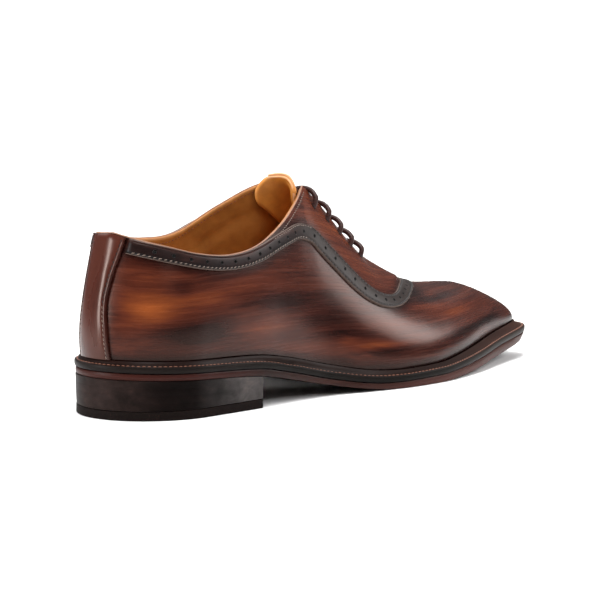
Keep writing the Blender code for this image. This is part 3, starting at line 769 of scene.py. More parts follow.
# The raised band: columns at even steps from the middle of its front, negative on the outer side
band = {
    "end": 16, "start": {outer: 0.0, inner: 0.42}, "ease": 0.4, "half": 3.6, "step": 1.3,
    # frontSheenSteps: where the band turns from the collar's colours to the front's lighter ones, a painted
    # sheen
    "fineCuts": 12, "endRise": 0.3, "frontSheenSteps": (5.0, 7.2), "stitchAt": 2.62,
    # offsets past keepFrom move out with the band's own width, fully from keepFrom + keepOver on
    "keepFrom": 0.95, "keepOver": 1.2,
    # columns from hole to hole past collarStep and before it
    "holePitch": 6, "collarPitch": 7, "collarStep": 8.4, "holeMargin": 4, "holeRadius": 1.1,
    "holeCorner": 0.7071, "pit": ((0.10, 0.12), (0.12, 0.9)),  # width and depth of each step into a hole
    # thread, side of the middle, first and final step, stitch size, pitch, slant, rise; the pale thread is a
    # painted sheen
    "rows": [
        ("sheen", -1, 0.1, 6.6, (2.0, 0.55, 0.50), 2.5, 0.42, 1.03),
        ("dark", -1, 6.6, 16, (1.35, 0.75, 0.45), 2.2, 0.0, 0.98),
        ("sheen", 1, 4.0, 7.4, (1.35, 0.75, 0.45), 2.2, 0.0, 0.98),
        ("dark", 1, 7.4, 16, (1.35, 0.75, 0.45), 2.2, 0.0, 0.98),
    ],
    # offset from the middle and height above the leather, lower edge first
    "profile": [
        (-3.62, -0.5), (-3.62, 0.70), (-3.50, 1.02), (-3.28, 1.18), (-3.05, 1.20), (-2.86, 1.06),
        (-2.62, 0.86), (-2.38, 1.06), (-2.15, 1.16), (-1.55, 1.20), (-0.95, 1.22), (0.0, 1.24),
        (0.95, 1.22), (1.55, 1.20), (2.15, 1.16), (2.38, 1.06), (2.62, 0.86), (2.86, 1.06),
        (3.05, 1.20), (3.28, 1.18), (3.50, 1.02), (3.62, 0.70), (3.62, -0.5),
    ],
}


def bandPlace(side, step):
    walk = smooth("bandLine", "walk", step)
    return walk, shareAtDrop(side, walk, smooth("bandLine", "drop", step))


@lru_cache(maxsize=None)
def bandMiddle(side, step):
    near = min(band["ease"], step)
    walk, share = bandPlace(side, step)
    ends = [upperPoint(side, *bandPlace(side, at)) for at in (step - near, step + near)]
    return settle(side, (upperPoint(side, walk, share) * 2 + ends[0] + ends[1]) / 4, walk, share)


def bandColumn(side, step):
    small = 0.05
    walk, share = bandMiddle(side, step)
    before = upperPoint(side, *bandMiddle(side, max(step - small, 0.0)))
    after = upperPoint(side, *bandMiddle(side, min(step + small, band["end"])))
    point, out = upperSpot(side, walk, share)
    run = (after - before).normalized()
    if step >= band["end"]:
        run = Vector((0, -side, 0))
    across = out.cross(run).normalized() * -side
    column = []
    half = smooth("bandLine", "half", step)
    for offset in (-half, 0.0, half):
        place = settle(side, point + across * offset, walk, share) if offset else (walk, share)
        column.append(upperSpot(side, *place))
    return column


def bandColumns():
    columns = []
    for side in sides:
        cuts = band["fineCuts"] * band["end"]
        reach = band["end"] - band["start"][side]
        steps = [band["end"] - reach * i / cuts for i in range(cuts + 1)]
        points = [upperPoint(side, *bandMiddle(side, step)) for step in steps]
        reach, made = 0.0, [band["end"]]
        for i in range(1, len(steps)):
            gone = (points[i] - points[i - 1]).length
            while len(made) * band["step"] <= reach + gone:
                part = (len(made) * band["step"] - reach) / gone
                made.append(steps[i - 1] + (steps[i] - steps[i - 1]) * part)
            reach += gone
        row = [(bandColumn(side, step), step) for step in made]
        columns = row[:0:-1] + [row[0]] if side == outer else columns + row[1:]
        if side == outer:
            front = len(columns) - 1
    return columns, front


columns, bandFront = bandColumns()
columnHalf = [smooth("bandLine", "half", step) for _, step in columns]
print("band laid out in", len(columns), "columns")


def bandSpot(at, offset):
    i = min(max(int(math.floor(at)), 0), len(columns) - 2)
    t = at - i
    half = columnHalf[i] * (1 - t) + columnHalf[i + 1] * t
    outside = min(max((abs(offset) - band["keepFrom"]) / band["keepOver"], 0.0), 1.0)
    f = (offset + math.copysign((half - band["half"]) * outside, offset)) / half
    weights = (f * (f - 1) / 2, 1 - f * f, f * (f + 1) / 2)
    point, out = Vector(), Vector()
    for (column, _), share in ((columns[i], 1 - t), (columns[i + 1], t)):
        for (spot, way), weight in zip(column, weights):
            point += spot * (weight * share)
            out += way * (weight * share)
    return point, out.normalized()


def makeBand():
    profile = band["profile"]
    middle = len(profile) // 2
    final = len(columns) - 1
    radius = band["holeRadius"]

    holes = {bandFront}
    for way in (-1, 1):
        i = bandFront
        while band["holeMargin"] < i < final - band["holeMargin"]:
            holes.add(i)
            i += way * (band["holePitch"] if columns[i][1] > band["collarStep"] else band["collarPitch"])

    def place(i, j):
        offset, rise = profile[j % len(profile)]
        at = float(i)
        near = abs(j - middle) <= 1
        for shift in (-1, 1):
            if near and i - shift in holes:  # columns beside a hole draw in round it
                part = 1.0 if j == middle else band["holeCorner"]
                at = i - shift + shift * radius * part / band["step"]
                offset = (j - middle) * radius * part
        if near and i in holes:
            offset = (j - middle) * radius
        if i in (0, final):
            rise = min(rise, band["endRise"])
        point, out = bandSpot(at, offset)
        # the tone brings in the front's lighter colours, a painted sheen
        front = ease(columns[i][1], *band["frontSheenSteps"])
        return point + out * rise, (at * band["step"], offset, 0.0), front

    bm = sheet(final, len(profile), place)
    spots = [bandSpot(i, 0.0) for i in sorted(holes)]
    centres = [point + out * profile[middle][1] for point, out in spots]
    tree = kdtree.KDTree(len(bm.verts))
    bm.verts.ensure_lookup_table()
    for vert in bm.verts:
        tree.insert(vert.co, vert.index)
    tree.balance()
    pits = {face for centre in centres for face in bm.verts[tree.find(centre)[1]].link_faces}
    for width, depth in band["pit"]:
        walls = bmesh.ops.inset_region(
            bm, faces=list(pits), thickness=width, depth=-depth, use_even_offset=True)
    # the pits take the hole colour, a painted shadow
    for face in list(pits) + walls["faces"]:
        face.material_index = 1
    closeEnds(bm)
    finishPiece("facingBand", bm, [bandFinish, holeShadowFinish], ["facing_strip"], sharp=48)


def bandRuns(offset, first, final):
    rows, row = [], []
    for i, (_, step) in enumerate(columns):
        if first < step <= final:
            row.append(bandSpot(i, offset))
        elif row:
            rows.append(row)
            row = []
    if row:
        rows.append(row)
    return rows


def makeBandStitches():
    # the pale stitches are the dark thread lit, a painted sheen
    threads = {"dark": bmesh.new(), "sheen": bmesh.new()}
    for thread, way, first, final, size, pitch, slant, rise in band["rows"]:
        for run in bandRuns(way * band["stitchAt"], first, final):
            stitchRow(threads[thread], run, size, pitch, slant, rise)
    finishPiece("bandDarkStitches", threads["dark"], [darkThread])
    finishPiece("bandSheenStitches", threads["sheen"], [sheenThread])


makeBand()
makeBandStitches()


# The upper: outside leather with its hand-painted tone, a painted highlight on the panel and painted shade
# above the welt, beside the band and beside the strap, and the tan lining
upper = {
    "rows": 44, "leather": 1.1, "spacing": roundSpacing,
    "tuck": 1.3, "tuckIn": 0.6, "topIn": 0.5, "topUp": 0.15,
    # the panel inside the band: its walks, the band's steps there, its rise above the vamp, and how much a
    # painted highlight lightens it
    "panelWalks": (139, 240), "panelSteps": (7.0, 16.0), "panelFront": 1.9, "panelEdge": 3.6,
    "panelEase": (184, 206), "panelSheen": 0.22,
    # how far the streaks turn in over the instep, and how fast they change across
    "flowIn": 0.7, "flowAcross": 0.03,
    # shift of the patches on the inner side; painted shade, strength and reach, just above the welt, beside
    # the band and beside the strap
    "innerShift": 9.0, "footShade": 0.50, "footReach": 2.6, "bandShade": 0.28, "bandReach": 3.0,
    "strapShade": 0.30, "strapReach": 1.6,
    # along the streaks, level, half length, half height, tone: warm above zero, dark below
    "patches": [
        (28, 51.5, 17, 7.8, 0.80), (61, 55.2, 17, 5.0, 0.30), (46, 62.6, 8, 4.1, -0.25),
        (55, 38.3, 18, 4.2, -0.90), (115, 49.9, 25, 4.1, -0.42), (105, 37.7, 32, 4.3, 0.22),
        (39, 69.0, 18, 4.1, 0.08), (154, 48.6, 8, 9.1, -0.20), (146, 38.4, 18, 3.2, -0.30),
        (176, 22.4, 14, 2.7, 0.40), (181, 18.8, 14, 2.1, -0.50), (159, 26.6, 6, 2.6, 0.30),
        (158, 30.3, 12, 3.7, -0.32), (250, 36.5, 20, 3.6, 0.40), (250, 49.4, 18, 3.0, -0.28),
        (236, 44.7, 22, 2.8, 0.25), (232, 54.9, 8, 4.2, -0.30), (245, 21.7, 13, 2.3, -0.40),
        (263, 22.9, 15, 2.3, -0.40), (286, 23.8, 13, 2.2, -0.40), (170, 17.0, 11, 1.5, 0.30),
        (129, 60.8, 23, 4.4, -0.15), (92, 62.2, 17, 4.2, 0.12), (191, 34.8, 19, 5.1, 0.15),
        (278, 40.5, 19, 3.3, -0.10),
    ],
}
bandTree = kdtree.KDTree(len(columns))
for number, (column, _) in enumerate(columns):
    bandTree.insert(column[1][0], number)
bandTree.balance()


def bandGap(point):
    _, number, distance = bandTree.find(point)
    return distance - columnHalf[number]


def insideBand(side, walk, share):
    first, final = upper["panelWalks"]
    if walk < first or walk > final:
        return False
    halvings = 24
    low, high = upper["panelSteps"]
    for _ in range(halvings):  # the step of the band that stands at this walk
        mid = (low + high) / 2
        low, high = (mid, high) if smooth("bandLine", "walk", mid) < walk else (low, mid)
    return share > shareAtDrop(side, walk, smooth("bandLine", "drop", low))


def flowAt(side, walk, point):
    along = walk if walk < last["heelWalk"] else point.x + last["heelWalk"] - last["heelReach"]
    middle = smooth("ridge", "shift", max(walk, last["cornerWalk"]))
    inwards = abs(sectionAt(side, walk)[0].y - middle) - abs(point.y - middle)
    return along, point.z + upper["flowIn"] * inwards, upper["flowAcross"] * (point.y - middle)


def patinaAndPaintedLight(side, walk, share, point, flow):
    tone = 0.0
    for along, level, length, height, strength in upper["patches"]:
        shift = 0.0 if side == outer else upper["innerShift"]
        tone += strength * hump(flow[0] - along - shift, length) * hump(flow[1] - level, height)
    # a painted highlight lightens the panel inside the band
    if insideBand(side, walk, share):
        tone += upper["panelSheen"]
    # painted shade just above the welt, beside the band and beside the strap
    tone -= upper["footShade"] * hump(point.z - sectionAt(side, walk)[0].z, upper["footReach"])
    tone -= upper["bandShade"] * hump(max(bandGap(point), 0.0), upper["bandReach"])
    beside = max(walk - smooth("strapEdge", sideName(side), share), 0.0)
    return tone - upper["strapShade"] * hump(beside, upper["strapReach"])


def upperRise(side, walk, share, point):
    gap = bandGap(point)
    if gap <= 0 or not insideBand(side, walk, share):
        return 0.0
    return upper["panelFront"] * ease(gap, 0.0, upper["panelEdge"]) * ease(point.x, *upper["panelEase"])


def makeUpper():
    stops = ringStops(upper["spacing"], last["endWalk"])
    rows = upper["rows"]

    def place(i, j):
        side, walk = splitWalk(stops[i])
        share = max(j - 1, 0) / (rows - 2) if j < rows else 1.0
        point, out = upperSpot(side, walk, share)
        flow = flowAt(side, walk, point)
        tone = patinaAndPaintedLight(side, walk, share, point, flow)
        if j == 0:  # the foot tucks in behind the welt's lip
            return point - Vector((0, 0, upper["tuck"])) - out * upper["tuckIn"], flow, tone
        if j == rows and walk <= last["slitEnd"]:  # the top edge rounds over
            return point - out * upper["topIn"] + Vector((0, 0, upper["topUp"])), flow, tone
        return point + out * upperRise(side, walk, share, point), flow, tone

    bm = sheet(len(stops) - 1, rows, place)
    piece = finishPiece("upperLeather", bm, [upperFinish], ["upper"], sharp=60)
    thicken(piece, upper["leather"])


lining = {
    "rows": 30, "leather": 1.0, "foot": 0.02, "set": 1.15, "proud": 0.35,
    "spacing": [(60.0, 2.4), (222.0, 3.0), (334.0, 3.0)],
    # walk, share, half walk, half share, depth: soft creases in the lining, inwards above zero
    "creases": [
        (-112, 0.70, 16, 0.035, 0.7), (100, 0.62, 22, 0.04, 0.9), (118, 0.45, 18, 0.04, 0.7),
        (84, 0.80, 14, 0.03, 0.5), (126, 0.74, 12, 0.05, -0.5), (66, 0.48, 16, 0.05, 0.6),
        (-70, 0.6, 18, 0.05, 0.6),
    ],
}


def makeLining():
    stops = ringStops(lining["spacing"], last["endWalk"])
    rows = lining["rows"]

    def place(i, j):
        signed = stops[i]
        side, walk = splitWalk(signed)
        share = lining["foot"] + (1 - lining["foot"]) * j / rows
        point, _, byShare, out = upperFrame(side, walk, share)
        depth = lining["set"]
        for at, height, length, reach, fold in lining["creases"]:
            depth += fold * hump(signed - at, length) * hump(share - height, reach)
        point = point - out * depth
        if j == rows and walk <= last["slitEnd"]:
            point += byShare.normalized() * lining["proud"]
        return point, flowAt(side, walk, point), 0.0

    bm = sheet(len(stops) - 1, rows, place)
    piece = finishPiece("upperLining", bm, [liningFinish], ["upper"], sharp=60)
    thicken(piece, lining["leather"])


piping = {"radius": 0.52, "set": 0.75, "up": 0.12, "step": 2.0, "around": 8}


def makePiping():
    stops = ringStops([(last["cornerWalk"], piping["step"])], last["cornerWalk"])
    path = []
    for signed in stops:
        side, walk = splitWalk(signed)
        point, _, byShare, out = upperFrame(side, walk, 1.0)
        path.append(point - out * piping["set"] + byShare.normalized() * piping["up"])
    finishPiece("collarPiping", tube(path, piping["radius"], piping["around"]), [pipeFinish])


# Stitches below the top edge: on the facings outside, and on the lining inside the collar
facingRow = {
    "first": 117.0, "final": 143.5, "cuts": 28, "drop": 2.7, "deep": 0.0, "face": 1, "rise": 0.1,
    "stitch": (1.5, 0.45, 0.4), "pitch": 2.1,
}
collarRow = {
    "first": 14.0, "final": 136.0, "cuts": 61, "drop": 3.0, "deep": 2.2, "face": -1, "rise": 0.0,
    "stitch": (1.4, 0.45, 0.36), "pitch": 2.1,
}


def makeTopStitches(name, row, thread):
    bm = bmesh.new()
    for side in sides:
        spots = []
        for i in range(row["cuts"] + 1):
            walk = row["first"] + (row["final"] - row["first"]) * i / row["cuts"]
            point, out = dropSpot(side, walk, row["drop"])
            spots.append((point - out * row["deep"], out * row["face"]))
        stitchRow(bm, spots, row["stitch"], row["pitch"], rise=row["rise"])
    finishPiece(name, bm, [thread])


makeUpper()
makeLining()
makePiping()
# the facing's pale stitches are a painted sheen on the thread
makeTopStitches("facingStitches", facingRow, sheenThread)
makeTopStitches("collarStitches", collarRow, rustThread)


# The strap over the back seam
strap = {
    "rows": 40, "head": 0.995, "headRise": 0.9,
    # strength and reach of the painted shade, in millimetres at the strap's edges and in rows at its foot by
    # the welt
    "edgeShade": (0.4, 1.6), "footShade": (0.3, 4),
    "stitchAt": 2.1, "stitch": (1.55, 0.48, 0.42), "pitch": 2.1, "slant": 0.2, "stitchRise": 1.28,
    "threadRow": 18,  # the thread is pale below this row, a painted sheen, and dark above it
    # inset from the strap's edge and height above the leather, then shares of the middle
    "edge": [(0.0, -0.4), (0.0, 0.95), (0.18, 1.32), (0.6, 1.48), (1.2, 1.48), (1.7, 1.34), (2.1, 1.16),
             (2.5, 1.36), (3.2, 1.52)],
    "middle": [(0.14, 1.56), (0.28, 1.58), (0.43, 1.6), (0.57, 1.6), (0.72, 1.58), (0.86, 1.56)],
    # the back follows the heel from the inner edge to the outer one
    "under": (0.96, 0.84, 0.72, 0.6, 0.48, 0.36, 0.24, 0.12, 0.04), "underRise": -0.4,
}


def strapShare(row):
    return strap["head"] * row / strap["rows"]


def strapWalk(side, share, inset):
    return side * (smooth("strapEdge", sideName(side), share) - inset)


def strapAcross(share, inset, part):
    ends = [strapWalk(side, share, inset) for side in sides]
    return ends[0] + (ends[1] - ends[0]) * part


def makeStrap():
    edge, middle, under = strap["edge"], strap["middle"], strap["under"]
    face = 2 * len(edge) + len(middle)
    count = face + len(under)

    def place(i, j):
        j = j % count
        share = strapShare(i)
        if j < len(edge):
            inset, rise = edge[j]
            walk = strapWalk(outer, share, inset)
        elif j < len(edge) + len(middle):
            part, rise = middle[j - len(edge)]
            walk = strapAcross(share, edge[-1][0], part)
        elif j < face:
            inset, rise = edge[face - 1 - j]
            walk = strapWalk(inner, share, inset)
        else:
            walk, rise = strapAcross(share, 0.0, under[j - face]), strap["underRise"]
        point, out = upperSpot(inner, walk, share)
        if i == strap["rows"]:
            rise = min(rise, strap["headRise"])
        away = min(walk - strapWalk(outer, share, 0.0), strapWalk(inner, share, 0.0) - walk)
        # painted shade along the strap's edges and at its foot by the welt
        (edgeShade, edgeReach), (footShade, footReach) = strap["edgeShade"], strap["footShade"]
        tone = -edgeShade * hump(away, edgeReach) - footShade * hump(i, footReach)
        return point + out * rise, (walk, share, 0.0), tone

    bm = sheet(strap["rows"], count, place)
    closeEnds(bm)
    finishPiece("heelStrap", bm, [strapFinish], ["back_strap"], sharp=50)
    for name, finish, slot, rows in (
        ("strapDarkStitches", darkThread, "lace_cord", range(strap["threadRow"], strap["rows"] + 1)),
        ("strapSheenStitches", sheenThread, "tan_leather", range(strap["threadRow"] + 1)),
    ):
        threads = bmesh.new()
        for side in sides:
            spots = []
            for row in rows:
                share = strapShare(row)
                spots.append(upperSpot(inner, strapWalk(side, share, strap["stitchAt"]), share))
            stitchRow(threads, spots, strap["stitch"], strap["pitch"], strap["slant"], strap["stitchRise"])
        finishPiece(name, threads, [finish])


makeStrap()


# Tongue
tongue = {
    "thick": 2.4, "clear": 1.2, "reach": 17.0, "highest": 149.0, "lowest": 212.0, "edgeDrop": 0.2,
    "crest": 0.6, "slit": 0.2, "tone": 0.1, "flowStep": 2.0, "levels": 1,
    "topAlong": 132.0, "topRise": 106.2, "topRound": {outer: 3.0, inner: 5.0}, "lean": math.radians(35),
    "topHalf": {outer: 9.6, inner: 11.0}, "topBend": {outer: 0.5, inner: 10.2},
    "topSag": {outer: 7.5, inner: 12.0}, "pinch": {outer: 5.0, inner: 1.0},
    "across": 28, "stand": 14, "rows": 26, "corner": 0.08, "cornerRows": 3.0,
    "rim": 0.55, "rimSet": 0.75, "rimEnd": 22, "rimSkip": 3, "rimRounds": 3, "rimAround": 8,
}


def offSide(off):
    return inner if off > 0 else outer


def tongueRing(walk, off, inward):
    slit = tongue["slit"]
    if abs(off) >= slit:
        drop = tongue["reach"] * (abs(off) - slit) / (1 - slit) + tongue["edgeDrop"]
        point, out = dropSpot(offSide(off), walk, drop)
        return point - out * inward
    left, right = tongueRing(walk, -slit, inward), tongueRing(walk, slit, inward)
    return left.lerp(right, (off / slit + 1) / 2) + Vector((0, 0, tongue["crest"] * (1 - (off / slit) ** 2)))


tongueOut = Vector((math.sin(tongue["lean"]), 0, math.cos(tongue["lean"])))


def tongueCrown(off, inward):
    side = offSide(off)
    along = tongue["topAlong"] - tongue["topBend"][side] * off * off
    rise = tongue["topRise"] - tongue["topSag"][side] * abs(off) ** tongue["topRound"][side]
    return Vector((along, tongue["topHalf"][side] * off, rise)) - tongueOut * inward


def tonguePoint(off, row):
    inward = last["wall"] + tongue["clear"] + tongue["thick"] / 2
    if row <= tongue["stand"]:
        part = 1 - row / tongue["stand"]
        low = tongueRing(tongue["highest"], off, inward)
        side = offSide(off)
        pinch = side * tongue["pinch"][side] * 4 * part * (1 - part) * off * off
        return low.lerp(tongueCrown(off, tongue["thick"] / 2), part) - Vector((0, pinch, 0))
    part = (row - tongue["stand"]) / tongue["rows"]
    return tongueRing(tongue["highest"] + (tongue["lowest"] - tongue["highest"]) * part, off, inward)


def makeTongue():
    across, rows = tongue["across"], tongue["stand"] + tongue["rows"]

    def place(i, j):
        off = 2 * i / across - 1
        if off > 0:  # the inner corner is cut round
            off *= 1 - tongue["corner"] * max(0.0, 1 - j / tongue["cornerRows"]) ** 2
        point = tonguePoint(off, j)
        return point, (point.x, tongue["flowStep"] * i, 0.0), tongue["tone"]

    bm = sheet(across, rows, place)
    front = bm.faces[:]
    if sum(face.normal.x + face.normal.z for face in front) < 0:
        bmesh.ops.reverse_faces(bm, faces=front)
    piece = finishPiece("tongueLeather", bm, [upperFinish, tongueFinish], ["tongue"], sharp=60)
    thicken(piece, tongue["thick"], 0.0, material_offset=1, material_offset_rim=1)
    soft = piece.modifiers.new("soft", "SUBSURF")
    soft.levels = tongue["levels"]
    soft.render_levels = tongue["levels"]
    edge = [tonguePoint(-1.0, row) for row in range(tongue["stand"], 0, -tongue["rimSkip"])]
    edge += [tonguePoint(2 * i / across - 1, 0) for i in range(0, tongue["rimEnd"] + 1, 2)]
    for _ in range(tongue["rimRounds"]):
        edge = [edge[0]] + [(a + b * 2 + c) / 4 for a, b, c in zip(edge, edge[1:], edge[2:])] + [edge[-1]]
    for name, shift in (("tongueRimFront", tongue["rimSet"]), ("tongueRimBack", -tongue["rimSet"])):
        path = softPath([point + tongueOut * shift for point in edge], pathCuts)
        finishPiece(name, tube(path, tongue["rim"], tongue["rimAround"]), [rimFinish])


makeTongue()


# Laces
laces = {
    "walks": (150.0, 160.2, 170.1, 179.4, 188.6), "radius": 1.0, "cord": 1.3, "around": 12,
    "clear": 0.35, "arch": 0.8,
    # below the facing's edge, below the leather at the ends, above it in the eyelet, and cuts of the arch
    "reach": 8.6, "sink": 2.2, "mouth": 0.2, "archCuts": 16,
    "eyelet": 1.35, "eyeletWire": 0.36, "eyeletRise": 0.05, "wireAround": 6, "eyeletAround": 14,
}


def laceEnd(side, walk):
    return dropSpot(side, walk, laces["reach"])


def lacePath(walk):
    stand = laces["radius"] + laces["clear"]
    left, right = laceEnd(outer, walk), laceEnd(inner, walk)
    ends = [point + out * stand for point, out in (left, right)]
    tops = [topPoint(side, walk) for side in sides]
    crest = (tops[0] + tops[1]) / 2
    crest.z = max(top.z for top in tops) + stand + laces["arch"]
    lift = crest - (ends[0] + ends[1]) / 2
    path = [left[0] - left[1] * laces["sink"], left[0] + left[1] * laces["mouth"]]
    for i in range(2, laces["archCuts"] - 1):
        turn = math.pi * i / laces["archCuts"]
        path.append(ends[0].lerp(ends[1], (1 - math.cos(turn)) / 2) + lift * math.sin(turn))
    return path + [right[0] + right[1] * laces["mouth"], right[0] - right[1] * laces["sink"]]


def makeLaces():
    rims = bmesh.new()
    for number, walk in enumerate(laces["walks"], 1):
        cord = tube(softPath(lacePath(walk), pathCuts), laces["cord"], laces["around"])
        finishPiece(f"laceBar{number}", cord, [cordFinish], [f"lace_bar_{number}"])
        for side in sides:
            point, out = laceEnd(side, walk)
            wire = bmesh.ops.create_circle(rims, segments=laces["wireAround"], radius=laces["eyeletWire"])
            ring = wire["verts"]
            bmesh.ops.rotate(rims, verts=ring, matrix=Matrix.Rotation(math.pi / 2, 3, "X"), cent=(0, 0, 0))
            bmesh.ops.translate(rims, verts=ring, vec=(laces["eyelet"], 0, 0))
            edges = list({edge for vert in ring for edge in vert.link_edges})
            bmesh.ops.spin(rims, geom=ring + edges, cent=(0, 0, 0), axis=(0, 0, 1), angle=2 * math.pi,
                           steps=laces["eyeletAround"], use_merge=True)
            made = [vert for vert in rims.verts if vert.tag is False]
            place = out.to_track_quat("Z", "Y").to_matrix().to_4x4()
            place.translation = point + out * laces["eyeletRise"]
            bmesh.ops.transform(rims, matrix=place, verts=made)
            for vert in rims.verts:
                vert.tag = True
    bmesh.ops.recalc_face_normals(rims, faces=rims.faces)
    finishPiece("eyeletRims", rims, [bandFinish])


makeLaces()


# Welt with its lip, stitch channel and stitches
welt = {
    "lipRise": 2.0, "stitch": (1.95, 0.72, 0.6), "pitch": 2.5, "slant": 0.12, "stitchAt": 1.35,
    "stitchRise": 3.22,
    # inset from the outline, or from the upper's foot, and height above the welt's underside
    "edge": [(1.2, 0.0), (0.40, 0.08), (0.10, 0.55), (0.0, 1.6), (0.06, 2.6), (0.28, 3.08), (0.68, 3.30),
             (0.98, 3.28), (1.35, 3.02), (1.72, 3.34)],
    "lip": [(-1.45, 4.30), (-0.95, 5.05), (-0.62, 5.26), (-0.30, 5.00), (0.05, 4.20), (0.9, 4.1),
            (4.2, 4.1), (4.2, 0.0)],
}


def weltSpot(signed, inset, rise):
    side, walk = splitWalk(signed)
    plan = planPoint(side, walk, inset)
    slope = max(rise - last["weltEdge"], 0.0) * (smooth("soleLine", "lip", plan.x) / welt["lipRise"] - 1)
    return Vector((plan.x, plan.y, weltBottom(plan.x) + rise + slope))


def makeWelt():
    stops = ringStops(roundSpacing, last["endWalk"])
    profile = welt["edge"] + welt["lip"]

    def place(i, j):
        j = j % len(profile)
        inset, rise = profile[j]
        if j >= len(welt["edge"]):
            inset += shelf(abs(stops[i]))
        point = weltSpot(stops[i], inset, rise)
        return point, (point.x, rise, 0.0), 0.0

    bm = sheet(len(stops) - 1, len(profile), place)
    finishPiece("weltRing", bm, [weltFinish], ["welt"], sharp=45)
    threads = bmesh.new()
    spots = [(weltSpot(signed, welt["stitchAt"], welt["stitchRise"]), Vector((0, 0, 1))) for signed in stops]
    stitchRow(threads, spots, welt["stitch"], welt["pitch"], welt["slant"])
    finishPiece("weltStitches", threads, [rustThread])


makeWelt()


# Outsole, insole and heel. A plate's profile has insets by the walk and heights by the length.
def makePlate(name, finish, node, profile, spacing):
    stops = walkStops(spacing, last["endWalk"])
    count = len(profile)

    def place(i, j):
        j = j % (2 * count)
        side = outer if j < count else inner
        inset, height = profile[j if j < count else 2 * count - 1 - j]
        plan = planPoint(side, stops[i], inset(stops[i]))
        point = Vector((plan.x, plan.y, height(plan.x)))
        return point, (point.x, point.y, 0.0), 0.0

    bm = sheet(len(stops) - 1, 2 * count, place)
    finishPiece(name, bm, [finish], [node], sharp=38)


outsole = {
    "toeSlope": 3.0,
    # inset from the outline, share of the thickness, and a further rise
    "profile": [(1.9, 0.0, 0.0), (1.0, 0.0, 0.12), (0.62, 0.0, 0.55), (0.52, 0.5, 0.0), (0.55, 1.0, -0.55),
                (0.80, 1.0, -0.15), (1.3, 1.0, 0.0)],
}


def outsoleHeight(share, rise):
    return lambda along: soleRise(along) + share * (outsoleTop(along) - soleRise(along)) + rise


def outsoleInset(inset, share):
    slope = outsole["toeSlope"] * (1 - share)
    return lambda walk: inset + slope * ease(walk, last["toeWalk"], last["endWalk"])


def makeOutsole():
    rows = outsole["profile"]
    profile = [(outsoleInset(inset, share), outsoleHeight(share, rise)) for inset, share, rise in rows]
    makePlate("outsoleLeather", soleFinish, "outsole", profile, roundSpacing)


insole = {
    "clear": 0.5,
    # reach in from the upper's wall and height above the welt's lip
    "profile": [(1.4, 0.1), (0.3, 0.6), (0.0, 1.7), (0.6, 2.0), (6.0, 1.6), (16.0, 1.4)],
}


def insoleInset(reach):
    return lambda walk: shelf(walk) + last["wall"] + insole["clear"] + reach


def insoleHeight(rise):
    return lambda along: weltLip(along) + rise


def makeInsole():
    profile = [(insoleInset(reach), insoleHeight(rise)) for reach, rise in insole["profile"]]
    makePlate("insoleSock", liningFinish, "insole", profile, lining["spacing"])


heel = {
    "inset": 0.5, "taper": 0.3, "topPiece": 4.5, "seam": 0.05, "lifts": 4, "groove": 0.015,
    "grooveHalf": 0.10, "breastCuts": 12, "spacing": [(60.0, 1.6), (145.0, 2.0)],
    # further inset and height at the stack's foot and head, then of the wearing layer
    "stackFoot": [(0.5, 0.0), (0.1, 0.15)], "stackHead": [(0.0, -0.35), (0.35, 0.0)],
    "wear": [(0.4, 0.0), (0.08, 0.2), (0.0, 0.6), (0.0, 4.05), (0.30, 4.38), (0.6, 4.5)],
}


def heelOutline():
    stops = walkStops(heel["spacing"], last["heelWalk"] + last["heelBreast"] - last["heelReach"])
    return [(outer, walk) for walk in stops[::-1]] + [(inner, walk) for walk in stops[1:]]


def heelPoint(rim, i, inset):
    count = len(rim) + heel["breastCuts"] - 1
    i = i % count
    if i < len(rim):
        return planPoint(*rim[i], inset)
    start, end = planPoint(*rim[-1], inset), planPoint(*rim[0], inset)
    return start.lerp(end, (i - len(rim) + 1) / heel["breastCuts"])


def makeHeelBlock(name, finish, node, levels):
    rim = heelOutline()
    count = len(rim) + heel["breastCuts"] - 1

    def place(i, j):
        inset, height = levels[j]
        plan = heelPoint(rim, i, inset)
        point = Vector((plan.x, plan.y, height(plan.x)))
        return point, (point.x, point.y, 0.0), 0.0

    bm = sheet(count, len(levels) - 1, place)
    closeEnds(bm)
    finishPiece(name, bm, [finish], [node], sharp=38)


def makeHeel():
    low, high = heel["inset"] + heel["taper"], heel["inset"]
    bottom = heel["topPiece"] + heel["seam"]

    def liftHeight(share, rise):
        return lambda along: bottom + share * (soleRise(along) - heel["seam"] - bottom) + rise

    levels = [(low + inset, liftHeight(0, rise)) for inset, rise in heel["stackFoot"]]
    half = heel["grooveHalf"]
    for number in range(1, heel["lifts"]):
        share = number / heel["lifts"]
        inset = low + (high - low) * share
        levels += [(inset, liftHeight(share, -half)), (inset + heel["groove"], liftHeight(share, 0.0)),
                   (inset, liftHeight(share, half))]
    levels += [(high + inset, liftHeight(1, rise)) for inset, rise in heel["stackHead"]]
    makeHeelBlock("heelStack", heelFinish, "heel_stack", levels)
    levels = [(low + inset, lambda along, rise=rise: rise) for inset, rise in heel["wear"]]
    makeHeelBlock("heelTopPiece", heelRubber, "heel_top_piece", levels)


makeOutsole()
makeInsole()
makeHeel()


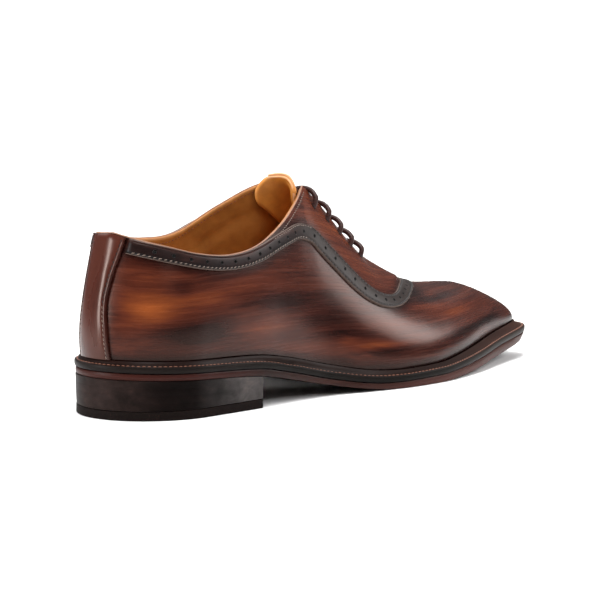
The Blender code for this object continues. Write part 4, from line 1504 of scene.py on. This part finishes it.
# Floor, light and camera
studio = {
    "floorHalf": 12.0, "floorAt": (0.3, 0.7), "floorColours": ((0.90, 0.90, 0.90), (0.927, 0.927, 0.927)),
    "floorRough": 0.65, "dust": ((3.0, 3.0, 3.0), 2.0),
    "world": 0.12, "camera": (-1299.2, -1118.8, 253.2), "aim": (-23.9, -12.5, 44.6),  # in millimetres
    "lens": 208.2, "sensor": 36.0, "clip": 40.0,
    # place, aim and size in metres, strength in watts, spread in degrees
    "lights": {
        "overhead": ((0.80, 0.68, 1.5), (0.85, 0.7225, 0.0), (0.5, 5.0), 17.0, 60.0),
        "backdrop": ((4.5, 4.0, 4.5), (4.5, 4.0, 0.0), (6.0, 6.0), 300.0, 130.0),
        "heelSide": ((-1.39, 0.80, 0.35), (-0.14, 0.0, 0.06), (0.40, 0.9), 2.6, 60.0),
        "collar": ((-1.1, -0.6, 1.7), (-0.05, 0.0, 0.08), (0.6, 0.6), 1.4, 60.0),
        "front": ((-0.25, -1.9, 1.3), (0.05, 0.0, 0.04), (1.0, 0.7), 1.2, 60.0),
        "innerSide": ((0.2, 1.9, 1.4), (0.0, 0.0, 0.05), (1.2, 0.9), 1.6, 60.0),
        "toeSide": ((1.5, -0.95, 1.05), (0.05, 0.0, 0.05), (1.2, 0.9), 3.6, 60.0),
    },
}


def makeStudio():
    bm = bmesh.new()
    bmesh.ops.create_grid(bm, x_segments=2, y_segments=2, size=studio["floorHalf"])
    mesh = meshOf("floor", bm)
    material, tree, shader = startMaterial("paleFloor", {"Roughness": studio["floorRough"]})
    dust = streaks(tree, placeOf(tree), *studio["dust"])
    tree.links.new(ramp(tree, dust, studio["floorAt"], studio["floorColours"]), shader.inputs["Base Color"])
    mesh.materials.append(material)
    floor = addObject("floor", mesh)

    world = bpy.data.worlds.new("studioWorld")
    world.use_nodes = True
    sky = world.node_tree.nodes["Background"]
    sky.inputs["Color"].default_value = (1.0, 1.0, 1.0, 1.0)
    sky.inputs["Strength"].default_value = studio["world"]
    bpy.context.scene.world = world

    for name, (place, aim, size, strength, spread) in studio["lights"].items():
        lamp = bpy.data.lights.new(name, "AREA")
        lamp.shape = "RECTANGLE"
        lamp.size, lamp.size_y = size
        lamp.energy = strength
        lamp.spread = math.radians(spread)
        light = addObject(name, lamp)
        light.location = place
        light.rotation_euler = (Vector(aim) - Vector(place)).to_track_quat("-Z", "Y").to_euler()

    lens = bpy.data.cameras.new("camera")
    lens.lens = studio["lens"]
    lens.sensor_width = studio["sensor"]
    lens.clip_end = studio["clip"]
    camera = addObject("camera", lens)
    camera.location = Vector(studio["camera"]) * mm
    look = (Vector(studio["aim"]) - Vector(studio["camera"])) * mm
    camera.rotation_euler = look.to_track_quat("-Z", "Y").to_euler()
    bpy.context.scene.camera = camera
    bpy.context.scene.view_settings.view_transform = "Standard"


makeStudio()
print("studio ready")
